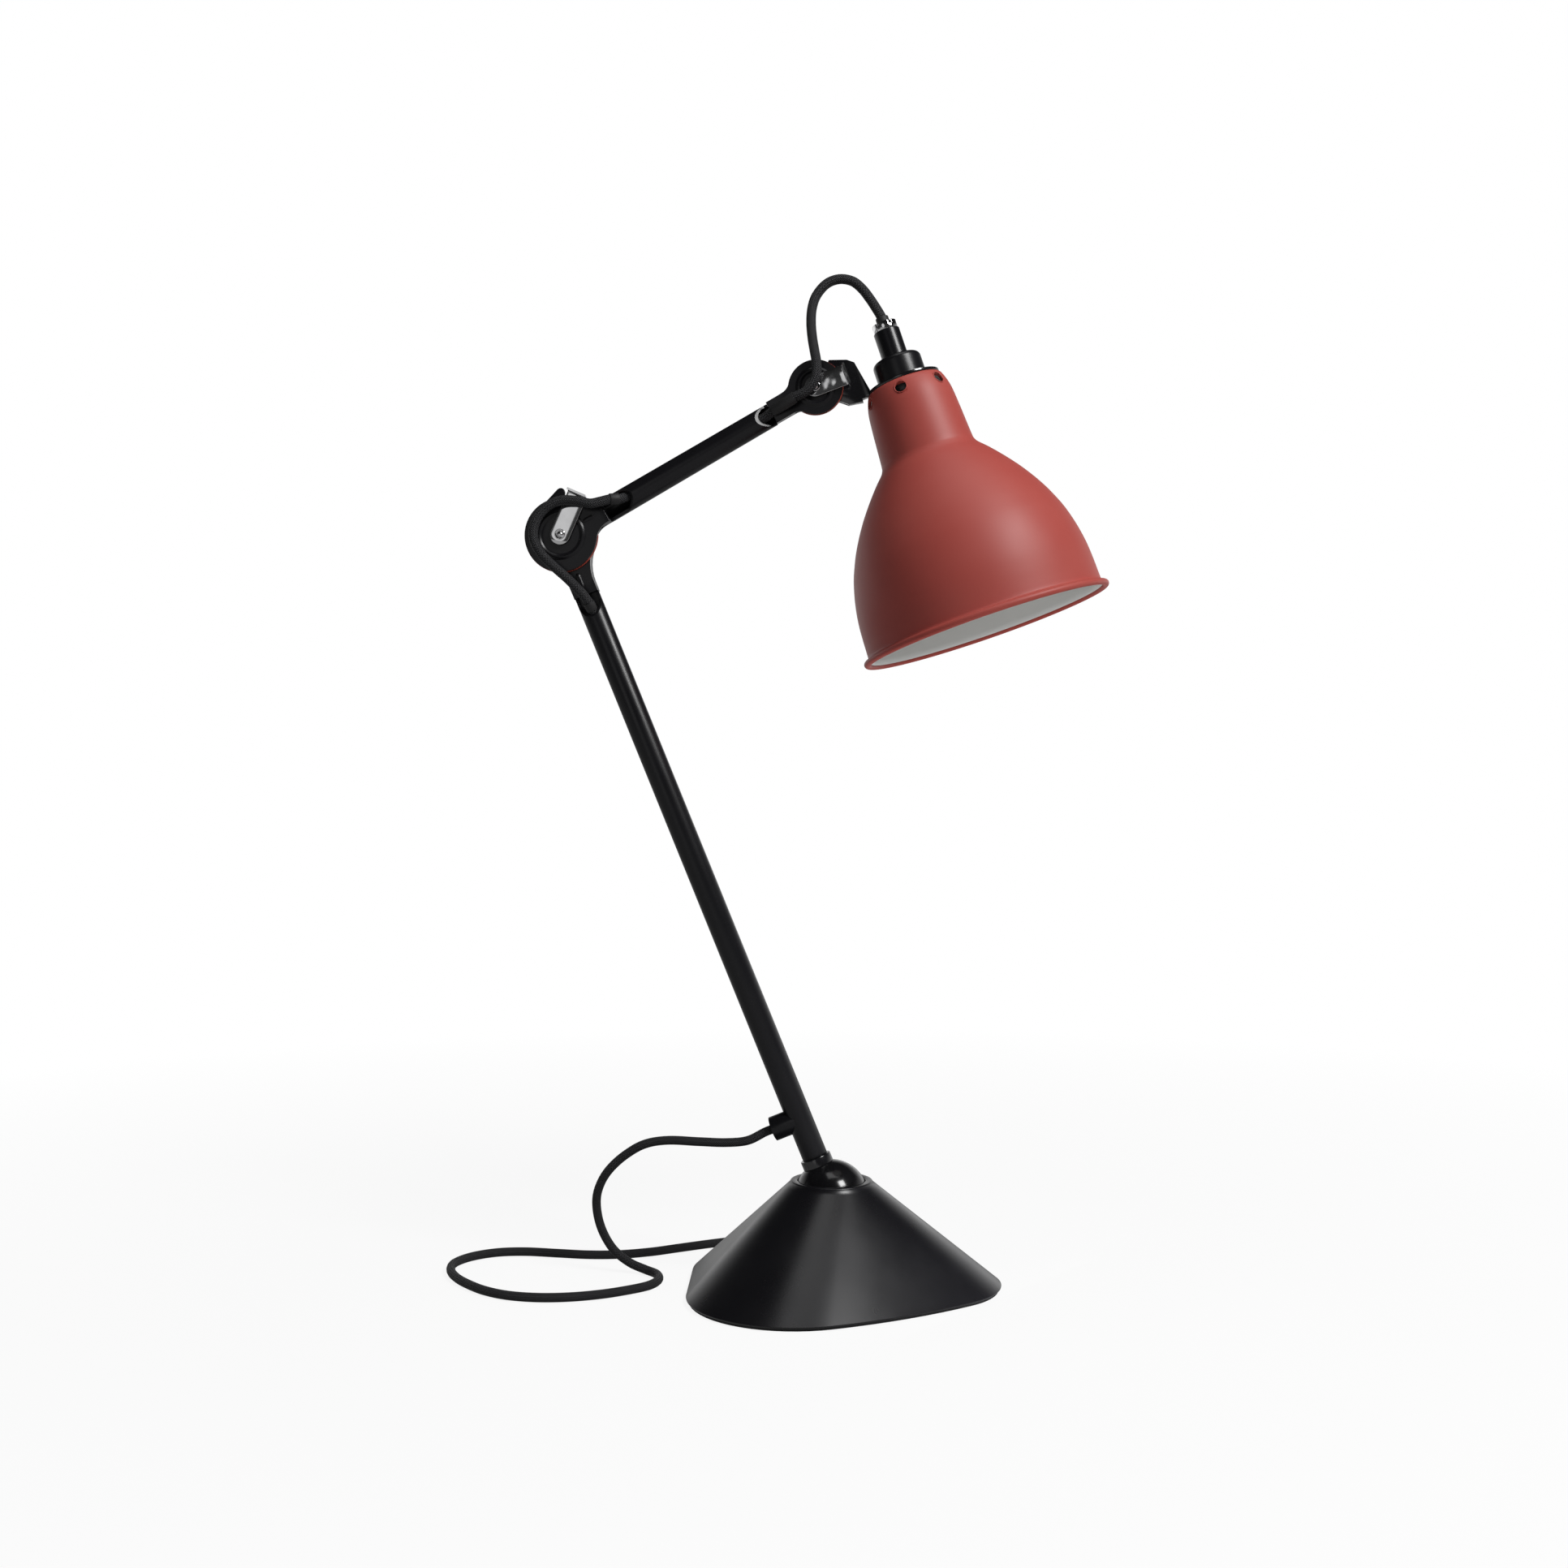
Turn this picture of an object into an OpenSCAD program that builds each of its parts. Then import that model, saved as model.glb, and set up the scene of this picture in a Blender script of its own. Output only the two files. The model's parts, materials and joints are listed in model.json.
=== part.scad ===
// Architect lamp: a heavy cast foot with a ball joint, two tubular arms with
// clamped disc hinges, and a spun bell shade on a stamped bracket.
// Millimetres. The origin is on the table under the ball, +Z is up, the arms
// lie in the XZ plane and the shade points to +X.

/* [Foot] */
// Height of the foot's rim above the table
foot_h = 59; // [50:1:75]
// Outer radius of the rim round the ball
rim_r = 22.9; // [22:0.5:28]
// Distance of the nose's rounding from the swivel axis
nose_x = 46.5; // [40:0.5:55]
// Radius of the foot's nose
nose_r = 47; // [40:0.5:52]
// Distance of the back corners' rounding behind the swivel axis
back_x = 20.5; // [15:0.5:28]
// Distance of the back corners' rounding to each side
back_y = 26; // [20:0.5:32]
// Radius of the foot's two back corners
corner_r = 58; // [50:0.5:64]
// Radius of the foot's two bulging sides
side_r = 285; // [200:5:400]
// How far the foot is turned from the arms' plane, degrees
foot_turn = 5; // [0:1:30]
// Wall of the casting
foot_wall = 5; // [4:0.5:8]
// Thickness of the rubber pad
pad_t = 1.5; // [1:0.5:3]
// Thickness of the cover plate
plate_t = 2; // [1.5:0.5:3]
// Thickness of the steel weight
weight_t = 11; // [8:1:12]
// Radius of the cover plate's screws
screw_r = 2; // [1.5:0.25:3]

/* [Ball joint] */
// Radius of the ball
ball_r = 20.5; // [18:0.5:21]
// How deep the ball's centre lies under the rim
ball_sink = 9.5; // [8:0.5:11]
// Radius of the opening in the rim
mouth_r = 18.8; // [18.5:0.1:19.5]
// Height of the nylon seat ring
seat_h = 5.5; // [4:0.5:6]
// Radius of the pressure cup
cup_r = 15; // [12:1:17]
// Radius of the stud between ball and tube
stud_r = 4; // [3:0.5:5]
// Radius of the collar on the ball
collar_r = 8.6; // [8:0.2:10]
// Distance from the ball's centre to the lower tube
collar_end = 23.7; // [22.5:0.1:28]

/* [Lower arm] */
// Length of the lower arm, ball centre to elbow bolt
lower_len = 397.2; // [300:0.2:500]
// Lean of the lower arm from upright, degrees
arm_lean = 22.35; // [10:0.05:30]
// Outer radius of the lower tube
lower_r = 7.1; // [6.8:0.1:9]
// Wall of both tubes
tube_wall = 1.2; // [0.8:0.1:1.5]
// Distance from the elbow bolt to the lower tube
lower_neck = 36; // [34:0.5:50]
// Distance of the cord boss from the ball's centre
boss_up = 46.4; // [44:0.5:80]
// Radius of the cord boss
boss_r = 6.8; // [5.5:0.1:6.8]
// Reach of the cord boss from the tube's axis
boss_reach = 16; // [13:0.5:22]

/* [Elbow] */
// Radius of the elbow discs
elbow_r = 20.6; // [18:0.2:23]
// Radius of the lower arm's disc behind the front one
tongue_r = 18.8; // [17:0.2:19]
// Radius of the upper arm's rear disc at the elbow
elbow_rear_r = 17.5; // [15:0.5:18.5]
// Rounding where the elbow's cheeks run out into the arm
elbow_flare = 12; // [5:0.5:13]
// Thickness of the lower arm's tongue at the elbow
tongue_t = 7; // [5:0.5:8]
// Thickness of the stamped cheeks
cheek_t = 1.5; // [1:0.1:2]
// Thickness of the red fibre washers
washer_t = 1.3; // [0.8:0.1:2]
// Radius of the elbow bolt
bolt_r = 3; // [2.5:0.1:4]
// Distance from the elbow bolt to the upper tube
upper_neck = 28; // [26:0.5:36]
// Length of the elbow's clamp lever
elbow_lever_len = 25.4; // [25:0.2:30]
// Direction of the elbow's clamp lever above horizontal, degrees
elbow_lever_turn = 66; // [55:1:80]

/* [Upper arm] */
// Length of the upper arm, elbow bolt to head bolt
upper_len = 163.2; // [130:0.2:220]
// Rise of the upper arm above horizontal, degrees
upper_rise = 29.1; // [10:0.1:40]
// Outer radius of the upper tube at the elbow
upper_r1 = 6.9; // [6.7:0.1:8]
// Outer radius of the upper tube at the head
upper_r2 = 6.5; // [6.4:0.1:7.5]

/* [Head joint] */
// Radius of the head discs
head_r = 15; // [14:0.2:17]
// Radius of the upper arm's rear disc at the head
head_rear_r = 12.6; // [11:0.2:14]
// Rounding where the head's cheeks run out into the arm
head_flare = 8; // [4:0.5:14]
// Gap between the head cheeks that holds the bracket and its washers
head_gap = 8; // [7:0.5:8]
// Width of the bracket's channel over its two sides
bracket_w = 4.9; // [4:0.1:5]
// Radius of the head bolt
head_bolt_r = 2.5; // [2:0.1:3]
// Length of the head's clamp lever
head_lever_len = 19; // [17:0.5:24]
// Direction of the head's clamp lever above horizontal, degrees
head_lever_turn = 19.6; // [5:0.2:25]
// Width of both clamp levers
lever_w = 11.4; // [9:0.2:13]
// Thickness of both clamp levers
lever_t = 1.2; // [0.8:0.1:1.5]

/* [Shade] */
// Radius of the rolled rim
shade_r = 70; // [60:1:85]
// Height from the rim to the flat top
shade_h = 142; // [130:1:160]
// Height of the bell under the neck
bell_h = 98.5; // [90:0.5:104]
// Radius of the neck at the bell
neck_r1 = 26; // [25:0.5:30]
// Radius of the neck at the shoulder
neck_r2 = 24.2; // [23:0.2:26]
// Radius of the flat top
top_r = 21.2; // [20.5:0.1:22]
// Height of the sloping shoulder
shoulder_h = 9.5; // [8:0.5:14]
// Sheet thickness of the shade
shade_wall = 1.2; // [0.8:0.1:2]
// Radius of the bead round the rim
bead_r = 1.8; // [1.4:0.1:2.4]
// Tilt of the shade's axis from upright, degrees
shade_tilt = 18.5; // [5:0.5:30]
// Distance from the head bolt to the shade's axis
shade_out = 46.5; // [44:0.5:60]
// Height of the head bolt above the shade's top
shade_drop = 14.3; // [14:0.2:20]
// Where the vents' axes cross the shade's, below its top
vent_drop = 12.7; // [10:0.1:16]
// How far the vents look up
vent_lean = 17; // [0:1:30]
// Number of vent holes in the shoulder
vent_count = 6; // [3:1:8]
// Radius of the vent holes
vent_r = 3.4; // [2:0.2:3.6]
// Where the first vent hole sits round the shade, from the right
vent_turn = -98; // [-120:1:-60]

/* [Lampholder] */
// Radius of the holder's wide cap
cap_r = 13.6; // [13:0.2:15]
// Height of the holder's wide cap
cap_h = 13.7; // [10:0.1:18]
// Radius of the holder's narrow top
spout_r = 7.3; // [6.5:0.1:8]
// Height of the holder's narrow top
spout_h = 16; // [12:0.5:20]
// Thickness of the bracket's sheet and ring
ring_t = 1.5; // [1:0.1:2]
// Radius of the bracket's ring
ring_r = 20.3; // [19:0.1:22]
// Radius of the holder's skirt inside the shade
skirt_r = 12.4; // [11.5:0.1:12.6]
// Depth of the holder's skirt below the shade's top
skirt_h = 36; // [30:1:42]
// Radius of the bulb's glass
bulb_r = 22; // [18:0.5:24]

/* [Cords] */
// Diameter of the mains lead
lead_d = 5; // [4:0.5:5]
// Diameter of the flex between the arms and to the holder
flex_d = 5.4; // [4:0.2:5.4]
// Diameter of the plug's pins
pin_d = 4; // [3:0.5:5]
// Length of the plug's pins
pin_len = 19; // [15:1:22]
// Distance between the plug's pins
pin_gap = 18.6; // [16:0.1:19]

/* [Hidden] */
$fn = 48;
fit = 0.05;    // radial clearance of a running fit
rub = 0.1;     // gap between flat faces that turn on each other
ease = 0.3;    // gap between curved faces of different bodies
hull_fn = 80;  // sides of the foot's round rim
cord_fn = 8;   // sides of a swept cord

ball_z = foot_h - ball_sink;
lower_dir = [-sin(arm_lean), 0, cos(arm_lean)];
elbow = [0, 0, ball_z] + lower_len * lower_dir;
upper_dir = [cos(upper_rise), 0, sin(upper_rise)];
head = elbow + upper_len * upper_dir;
lower_bore = lower_r - tube_wall;
upper_bore = upper_r2 - tube_wall;
plate_z = pad_t;
weight_z = plate_z + plate_t;
weight_top = weight_z + weight_t;
cup_top = ball_z - 0.62 * ball_r;
cup_z = cup_top - 11;
screw_at = 44;
tongue_y = tongue_t / 2;
cheek_y = tongue_y + washer_t + 2 * rub;
cheek_out = cheek_y + cheek_t;
head_cheek_y = head_gap / 2;
head_cheek_out = head_cheek_y + cheek_t - 0.3;
head_washer_t = head_cheek_y - bracket_w / 2 - 2 * rub;
cap_z = ring_t;
spout_z = cap_z + cap_h;
nut_z = spout_z + spout_h;
nut_h = 4.3;
grip_len = 8;
shell_r = 7.6;
shell_wall = 0.5;
lead_r = lead_d / 2;
flex_r = flex_d / 2;

// Frames of the moving parts
module on_lower(up = 0) {
    translate([0, 0, ball_z]) rotate([0, -arm_lean, 0]) translate([0, 0, up]) children();
}
module on_upper(along = 0) {
    translate(elbow) rotate([0, 90 - upper_rise, 0]) translate([0, 0, along]) children();
}
module on_elbow(turn = 0) {
    translate(elbow) rotate([0, -turn, 0]) children();
}
module on_head(turn = 0) {
    translate(head) rotate([0, -turn, 0]) children();
}
module on_shade() {
    on_head(shade_tilt) translate([shade_out, 0, -shade_drop]) children();
}
// A plate in the XZ plane, from y0 to y0 + t, drawn as [x, z]
module plate(y0, t) {
    translate([0, y0 + t, 0]) rotate([90, 0, 0]) linear_extrude(t) children();
}
// Opening in a tube's front wall: flat down to a, then slanting out to b
module scoop(a, b) {
    translate([-12, 0, 0]) rotate([90, 0, 90]) linear_extrude(24)
        polygon([[-12, -1], [-1.2, -1], [-1.2, a], [-7.5, b], [-12, b]]);
}
// A cylinder along Y
module pin_y(r, y0, y1) {
    translate([0, y0, 0]) rotate([-90, 0, 0]) cylinder(r = r, h = y1 - y0);
}
// Low dome towards the front, its base at y
module dome(r, h, y) {
    big = (r * r + h * h) / (2 * h);
    intersection() {
        translate([0, y + big - h, 0]) sphere(r = big);
        pin_y(r, y - h - 1, y);
    }
}

function arc(c, r, a0, a1, n = 12) =
    [for (i = [0:n]) c + r * [cos(a0 + (a1 - a0) * i / n), sin(a0 + (a1 - a0) * i / n)]];

// Outline of a disc that runs out into a neck along -z, with round corners
function disc_neck(r, half, len, f) =
    let (x = half + f, z = -sqrt((r + f) * (r + f) - x * x), a = atan2(-z, x))
    concat(
        [[half, -len]],
        arc([x, z], f, 180, 180 - a, 6),
        arc([0, 0], r, -a, 180 + a, 40),
        arc([-x, z], f, a, 0, 6),
        [[-half, -len]]
    );

// Cord sweep: the rings turn as little as possible from one to the next
function unit(v) = v / norm(v);
function tangent(p, i) = unit(p[min(i + 1, len(p) - 1)] - p[max(i - 1, 0)]);
function turned(n, t) = unit(n - (n * t) * t);
function first_normal(t) = turned(abs(t[1]) < 0.8 ? [0, 1, 0] : [1, 0, 0], t);
function normals(p) =
    [for (i = 0, n = first_normal(tangent(p, 0)); i < len(p);
          i = i + 1, n = i < len(p) ? turned(n, tangent(p, i)) : n) n];
function ring(c, t, n, r, sides) =
    let (b = cross(t, n))
    [for (k = [0:sides - 1]) c + r * (cos(360 * k / sides) * n + sin(360 * k / sides) * b)];
function rings(p, r, sides) =
    let (ns = normals(p))
    [for (i = [0:len(p) - 1]) each ring(p[i], tangent(p, i), ns[i], r, sides)];

module cord(p, r, sides = cord_fn) {
    last = (len(p) - 1) * sides;
    side_faces = [for (i = [0:len(p) - 2], k = [0:sides - 1])
        let (a = i * sides + k, b = i * sides + (k + 1) % sides)
        each [[a, b, b + sides], [a, b + sides, a + sides]]];
    caps = concat(
        [for (k = [1:sides - 2]) [0, k + 1, k]],
        [for (k = [1:sides - 2]) [last, last + k, last + k + 1]]
    );
    polyhedron(rings(p, r, sides), concat(side_faces, caps));
}

// Foot
// Each side is an arc that touches the nose's circle and a back corner's
side_c =
    let (n = [nose_x, 0], d = [-back_x, -back_y] - n, l = norm(d), u = d / l, p = side_r - nose_r,
         q = side_r - corner_r, x = (p * p - q * q + l * l) / (2 * l))
    n + x * u + sqrt(p * p - x * x) * [u[1], -u[0]];
nose_turn = atan2(side_c[1], side_c[0] - nose_x) - 180;
back_turn = atan2(side_c[1] + back_y, side_c[0] + back_x) - 180;
// [centre, radius, start, stop, steps]
foot_arcs = [
    [[-back_x, -back_y], corner_r, -180, back_turn, 18],
    [side_c, side_r, back_turn, nose_turn, 8],
    [[nose_x, 0], nose_r, nose_turn, -nose_turn, 24],
    [[side_c[0], -side_c[1]], side_r, -nose_turn, -back_turn, 8],
    [[-back_x, back_y], corner_r, -back_turn, 180, 18]
];
module foot_outline(inset) {
    polygon([for (a = foot_arcs) each [for (i = [0:a[4] - (a[3] == 180 ? 0 : 1)])
        let (t = a[2] + (a[3] - a[2]) * i / a[4]) a[0] + (a[1] - inset) * [cos(t), sin(t)]]]);
}
module foot_slab(inset, z, h) {
    rotate(foot_turn) translate([0, 0, z]) linear_extrude(h) foot_outline(inset);
}
module foot_cone(inset, z0, z1, top) {
    rotate(foot_turn) hull() {
        translate([0, 0, z0]) linear_extrude(0.8) foot_outline(inset);
        translate([0, 0, z1 - 0.8]) cylinder(r = top, h = 0.8, $fn = hull_fn);
    }
}
module screw_places() {
    rotate(foot_turn) for (a = [0, 125, 235]) rotate(a) translate([screw_at, 0, 0]) children();
}
module base_casting() {
    color([0.05, 0.05, 0.055]) difference() {
        foot_cone(0, plate_z, foot_h, rim_r);
        foot_cone(foot_wall + 2, plate_z - 0.5, foot_h - 14, ball_r + 4);
        foot_slab(foot_wall, plate_z - 1, plate_t + 1);
        translate([0, 0, 20]) cylinder(r = ball_r + 1.6, h = ball_z + seat_h - 20);
        cylinder(r = mouth_r, h = foot_h + 1);
        translate([0, 0, ball_z]) sphere(r = ball_r + ease, $fn = 96);
    }
}
module base_weight() {
    color("dimgray") difference() {
        foot_slab(foot_wall + 22, weight_z, weight_t);
        translate([0, 0, weight_z - 1]) cylinder(r = 10, h = weight_t + 2);
        screw_places() translate([0, 0, weight_z - 1]) cylinder(r = screw_r + fit, h = 9);
    }
}
module base_plate() {
    color("silver") difference() {
        foot_slab(foot_wall + 0.3, plate_z, plate_t);
        translate([0, 0, plate_z - 1]) cylinder(r = 5, h = plate_t + 2);
        screw_places() translate([0, 0, plate_z - 0.01])
            cylinder(r1 = 2 * screw_r, r2 = screw_r + 0.1, h = plate_t + 0.02);
    }
}
module foot_pad() {
    color([0.03, 0.03, 0.03]) foot_slab(1.5, 0, pad_t);
}
module plate_screws() {
    color("silver") screw_places() {
        translate([0, 0, plate_z]) cylinder(r1 = 2 * screw_r - 0.05, r2 = screw_r, h = plate_t);
        translate([0, 0, plate_z]) cylinder(r = screw_r, h = plate_t + 7);
    }
}
module tension_screw() {
    color("silver") {
        translate([0, 0, weight_z + 2]) cylinder(r = 10 - fit, h = weight_t - 2);
        translate([0, 0, weight_z + 2]) cylinder(r = 4, h = cup_z + 1.4 - weight_z - 2);
    }
}
module spring_washers() {
    gap = cup_z - weight_top - 2 * rub;
    color("gray") for (i = [0:3]) {
        h = gap / 4;
        z = weight_top + rub + i * h;
        flip = i % 2;
        difference() {
            translate([0, 0, z]) cylinder(r = 9, h = h);
            translate([0, 0, z - 1]) cylinder(r = 4 + ease, h = h + 2);
            translate([0, 0, flip == 0 ? z + 0.6 : z + h - 0.6]) mirror([0, 0, flip])
                cylinder(r1 = 4.4, r2 = 9.2, h = h - 0.6 + 0.01);
        }
    }
}
module ball_seat() {
    color("ivory") difference() {
        translate([0, 0, ball_z]) cylinder(r = ball_r + 1.6 - fit, h = seat_h);
        translate([0, 0, ball_z]) sphere(r = ball_r + rub, $fn = 96);
    }
}
module pressure_cup() {
    color("silver") difference() {
        translate([0, 0, cup_z]) cylinder(r = cup_r, h = cup_top - cup_z);
        translate([0, 0, ball_z]) sphere(r = ball_r + rub, $fn = 96);
        translate([0, 0, cup_z - 1]) cylinder(r = 4 + fit, h = 2.6);
    }
}

// Lower arm
module ball() {
    color([0.03, 0.03, 0.035]) difference() {
        on_lower() sphere(r = ball_r, $fn = 96);
        on_lower(6) cylinder(r = stud_r, h = ball_r);
    }
}
module ball_stud() {
    color("silver") on_lower(6.5) cylinder(r = stud_r - fit, h = collar_end + 3);
}
module lower_collar() {
    color([0.06, 0.06, 0.065]) difference() {
        on_lower(ball_r - 2.5) cylinder(r = collar_r, h = collar_end - ball_r + 2.5);
        on_lower() sphere(r = ball_r + 0.02, $fn = 96);
        on_lower(ball_r - 4) cylinder(r = stud_r, h = collar_end);
    }
}
module tube_plug() {
    color("silver") difference() {
        on_lower(collar_end) cylinder(r = lower_bore - fit, h = 12);
        on_lower(collar_end - 1) cylinder(r = stud_r, h = 14);
    }
}
module lower_tube() {
    color([0.06, 0.06, 0.065]) difference() {
        on_lower(collar_end) cylinder(r = lower_r, h = lower_len - lower_neck - collar_end);
        on_lower(collar_end - 1) cylinder(r = lower_bore, h = lower_len);
        on_lower(boss_up) rotate([0, -90, 0]) cylinder(r = 3.4, h = lower_r + 2);
        on_lower(lower_len - lower_neck) mirror([0, 0, 1]) scoop(5, 14);
    }
}
module cord_boss() {
    color([0.06, 0.06, 0.065]) difference() {
        on_lower(boss_up) rotate([0, -90, 0]) cylinder(r = boss_r, h = boss_reach);
        on_lower() cylinder(r = lower_r, h = boss_up + 20);
        on_lower(boss_up) rotate([0, -90, 0]) cylinder(r = 3, h = boss_reach + 1);
        on_lower(boss_up) rotate([0, -90, 0]) translate([0, 0, boss_reach - 5]) cylinder(r = 4.6, h = 6);
    }
}
module boss_bush() {
    color([0.03, 0.03, 0.03]) difference() {
        on_lower(boss_up) rotate([0, -90, 0]) translate([0, 0, boss_reach - 5])
            cylinder(r = 4.6 - fit, h = 5);
        on_lower(boss_up) rotate([0, -90, 0]) cylinder(r = lead_r + fit, h = boss_reach + 1);
    }
}
// Points in the lower arm's own frame, up the tube from the boss
inner_low = [
    [-boss_reach, 0, boss_up], [-10, 0, boss_up], [-5, 0, boss_up + 1], [-1.5, 0, boss_up + 5],
    [0, 0, boss_up + 14], [0, -1, boss_up + 60], [0, -2, 220], [0, -2.7, 300],
    [0, -2.9, lower_len - 54.6]
];
module inner_cord_lower() {
    color([0.08, 0.08, 0.08]) on_lower() cord(inner_low, lead_r - 0.1);
}
module tongue(y0) {
    plate(y0, tongue_y - rub / 2) polygon(disc_neck(tongue_r, lower_r, lower_neck, 26));
}
// Pressed rib along a neck, its back sunk in the plate
module rib(y0, z0, z1, r = 1.4) {
    translate([0, y0, z0]) cylinder(r = r, h = z1 - z0);
    for (z = [z0, z1]) translate([0, y0, z]) sphere(r = r, $fn = 24);
}
module tongue_front() {
    color([0.06, 0.06, 0.065]) difference() {
        on_elbow(arm_lean) {
            tongue(-tongue_y);
            rib(-tongue_y + 0.6, -32, -23.5);
        }
        on_elbow() pin_y(bolt_r + fit, -tongue_t, tongue_t);
        rivet_places() pin_y(1.5, -tongue_t, tongue_t);
    }
}
module tongue_rear() {
    color([0.06, 0.06, 0.065]) difference() {
        union() {
            on_elbow(arm_lean) tongue(rub / 2);
            // Spigot: the rear half of the tube's bore
            on_elbow(arm_lean) intersection() {
                translate([0, 0, -lower_neck - 14]) cylinder(r = lower_bore - fit, h = 16);
                translate([-lower_r, 0.4, -lower_neck - 15]) cube([2 * lower_r, 9, 18]);
            }
        }
        on_elbow() pin_y(bolt_r + fit, -tongue_t, tongue_t);
        rivet_places() pin_y(1.5, -tongue_t, tongue_t);
    }
}
module rivet_places() {
    on_elbow(arm_lean) for (x = [-3.6, 3.6]) translate([x, 0, -33]) children();
}
module tongue_rivets() {
    color("gray") rivet_places() pin_y(1.5 - fit, -tongue_y + 0.2, tongue_y);
}

// Elbow: routes are measured from the elbow bolt, [x, y, z]
flex_low = [
    [20.8, -2.8, -49.8], [19.1, -2.2, -45.8], [17.6, -4.7, -42], [16, -6.9, -38]
];
elbow_route = concat(flex_low, [
    [13.2, -9, -33.8], [9.6, -10.6, -29.8], [4.2, -11.6, -24.4], [-2, -11.8, -19], [-8.8, -11.8, -12.4],
    [-13.2, -11.8, -5.4], [-14.2, -11.8, 1.6], [-11.6, -11.8, 9.2], [-6, -11.8, 15.2],
    [1.4, -11.8, 18.2], [9.8, -11.9, 17.9], [17.6, -11.6, 16.3], [23, -10.2, 17.4],
    [28, -8, 19], [32.6, -5.4, 19.6], [37.4, -2.1, 21.5], [42, -2.3, 23.8]
]);
module sleeve(p0, p1, r) {
    d = p1 - p0;
    translate(p0) rotate([0, acos(d[2] / norm(d)), atan2(d[1], d[0])]) difference() {
        cylinder(r = r, h = norm(d));
        translate([0, 0, -1]) cylinder(r = flex_r + fit, h = norm(d) + 2);
    }
}
module lower_sleeve() {
    color([0.04, 0.04, 0.04]) translate(elbow) sleeve(flex_low[2], flex_low[3], flex_r + 0.5);
}
module upper_sleeve() {
    color([0.04, 0.04, 0.04]) translate(elbow)
        sleeve(elbow_route[len(elbow_route) - 3], elbow_route[len(elbow_route) - 4], flex_r + 0.5);
}
// Two stamped cheeks, the rear one smaller, joined behind the discs
module fork(r, rear_r, y0, t, half, len, bore, span, flare) {
    plate(-y0 - t, t) polygon(disc_neck(r, half, len, flare));
    plate(y0, t) polygon(disc_neck(rear_r, half - 1.4, len, flare));
    // Bridge between the two cheeks
    translate([1.4 - half, -y0, -len]) cube([2 * half - 2.8, 2 * y0, len - r - 1.2]);
    // Spigot: the rear half of the tube's bore
    intersection() {
        translate([0, 0, -len - 12]) cylinder(r = bore - fit, h = 13);
        translate([-half, 0.6, -len - 13]) cube([2 * half, 9, 15]);
    }
    // Pressed ring round the bolt and rib towards the tube
    translate([0, -y0 - t + 0.01, 0]) rotate([90, 0, 0]) rotate_extrude()
        polygon([[span - 1.4, 0], [span - 0.5, 0.5], [span + 0.5, 0.5], [span + 1.4, 0]]);
    rib(-y0 - t + 0.3, -r - 1, -span - 2.6, 0.8);
}
module elbow_fork() {
    color([0.06, 0.06, 0.065]) difference() {
        union() {
            on_upper() mirror([0, 0, 1])
                fork(elbow_r, elbow_rear_r, cheek_y, cheek_t, upper_r1, upper_neck, upper_bore, 12.4, elbow_flare);
            // Ear on the rear cheek
            on_elbow() plate(cheek_y, cheek_t)
                polygon(concat([[-12, 10], [-10.6, 21.4]], arc([-2.8, 25.8], 2.5, 135, 0, 8), [[-0.3, 12]]));
        }
        on_elbow() pin_y(bolt_r + fit, -20, 20);
    }
}
module elbow_bolt() {
    color("silver") on_elbow() {
        pin_y(bolt_r, -cheek_out - lever_t - 1, cheek_out + 5.2);
        dome(3.3, 1.3, -cheek_out - lever_t - 0.8);
    }
}
module elbow_nut() {
    color("silver") on_elbow() difference() {
        translate([0, cheek_out + 0.05, 0]) rotate([-90, 0, 0]) cylinder(r = 5.6, h = 4.6, $fn = 6);
        pin_y(bolt_r + fit, cheek_out - 1, cheek_out + 6);
    }
}
module washer_pair(r, rear_r, hole, y0, t) {
    difference() {
        union() {
            pin_y(r, -y0 - t, -y0);
            pin_y(rear_r, y0, y0 + t);
        }
        pin_y(hole, -20, 20);
    }
}
module elbow_washers() {
    color([0.55, 0.12, 0.08]) on_elbow()
        washer_pair(elbow_r + 0.3, elbow_rear_r, bolt_r + fit, tongue_y + rub, washer_t);
}
// Flag lever with its end bent towards the front
module flag_lever(len, y0, hole) {
    difference() {
        union() {
            plate(-y0 - lever_t, lever_t) polygon(concat(
                arc([0, 0], lever_w / 2, 90, 270, 16),
                [[len, -lever_w / 2], [len, lever_w / 2]]
            ));
            translate([len - lever_t, -y0 - 5.5, -lever_w / 2]) cube([lever_t, 5.5, lever_w]);
        }
        pin_y(hole, -20, 20);
    }
}
module elbow_lever() {
    color("gainsboro") on_elbow(elbow_lever_turn)
        flag_lever(elbow_lever_len, cheek_out + 0.5 + rub, bolt_r + fit);
}

// Upper arm
module upper_tube() {
    len = upper_len - upper_neck - upper_neck;
    color([0.06, 0.06, 0.065]) difference() {
        on_upper(upper_neck) cylinder(r1 = upper_r1, r2 = upper_r2, h = len);
        on_upper(upper_neck - 1) cylinder(r = upper_bore, h = len + 2);
        on_upper(upper_neck) scoop(11.5, 19);
        on_upper(upper_neck + len) mirror([0, 0, 1]) scoop(2, 11);
    }
}
inner_up = [[0, -2.4, 48.8], [0, -2.4, 80], [0, -2.4, 110], [0, -2.4, upper_len - 36.6]];
module inner_cord_upper() {
    color([0.08, 0.08, 0.08]) on_upper() cord(inner_up, flex_r - 0.3);
}
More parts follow.
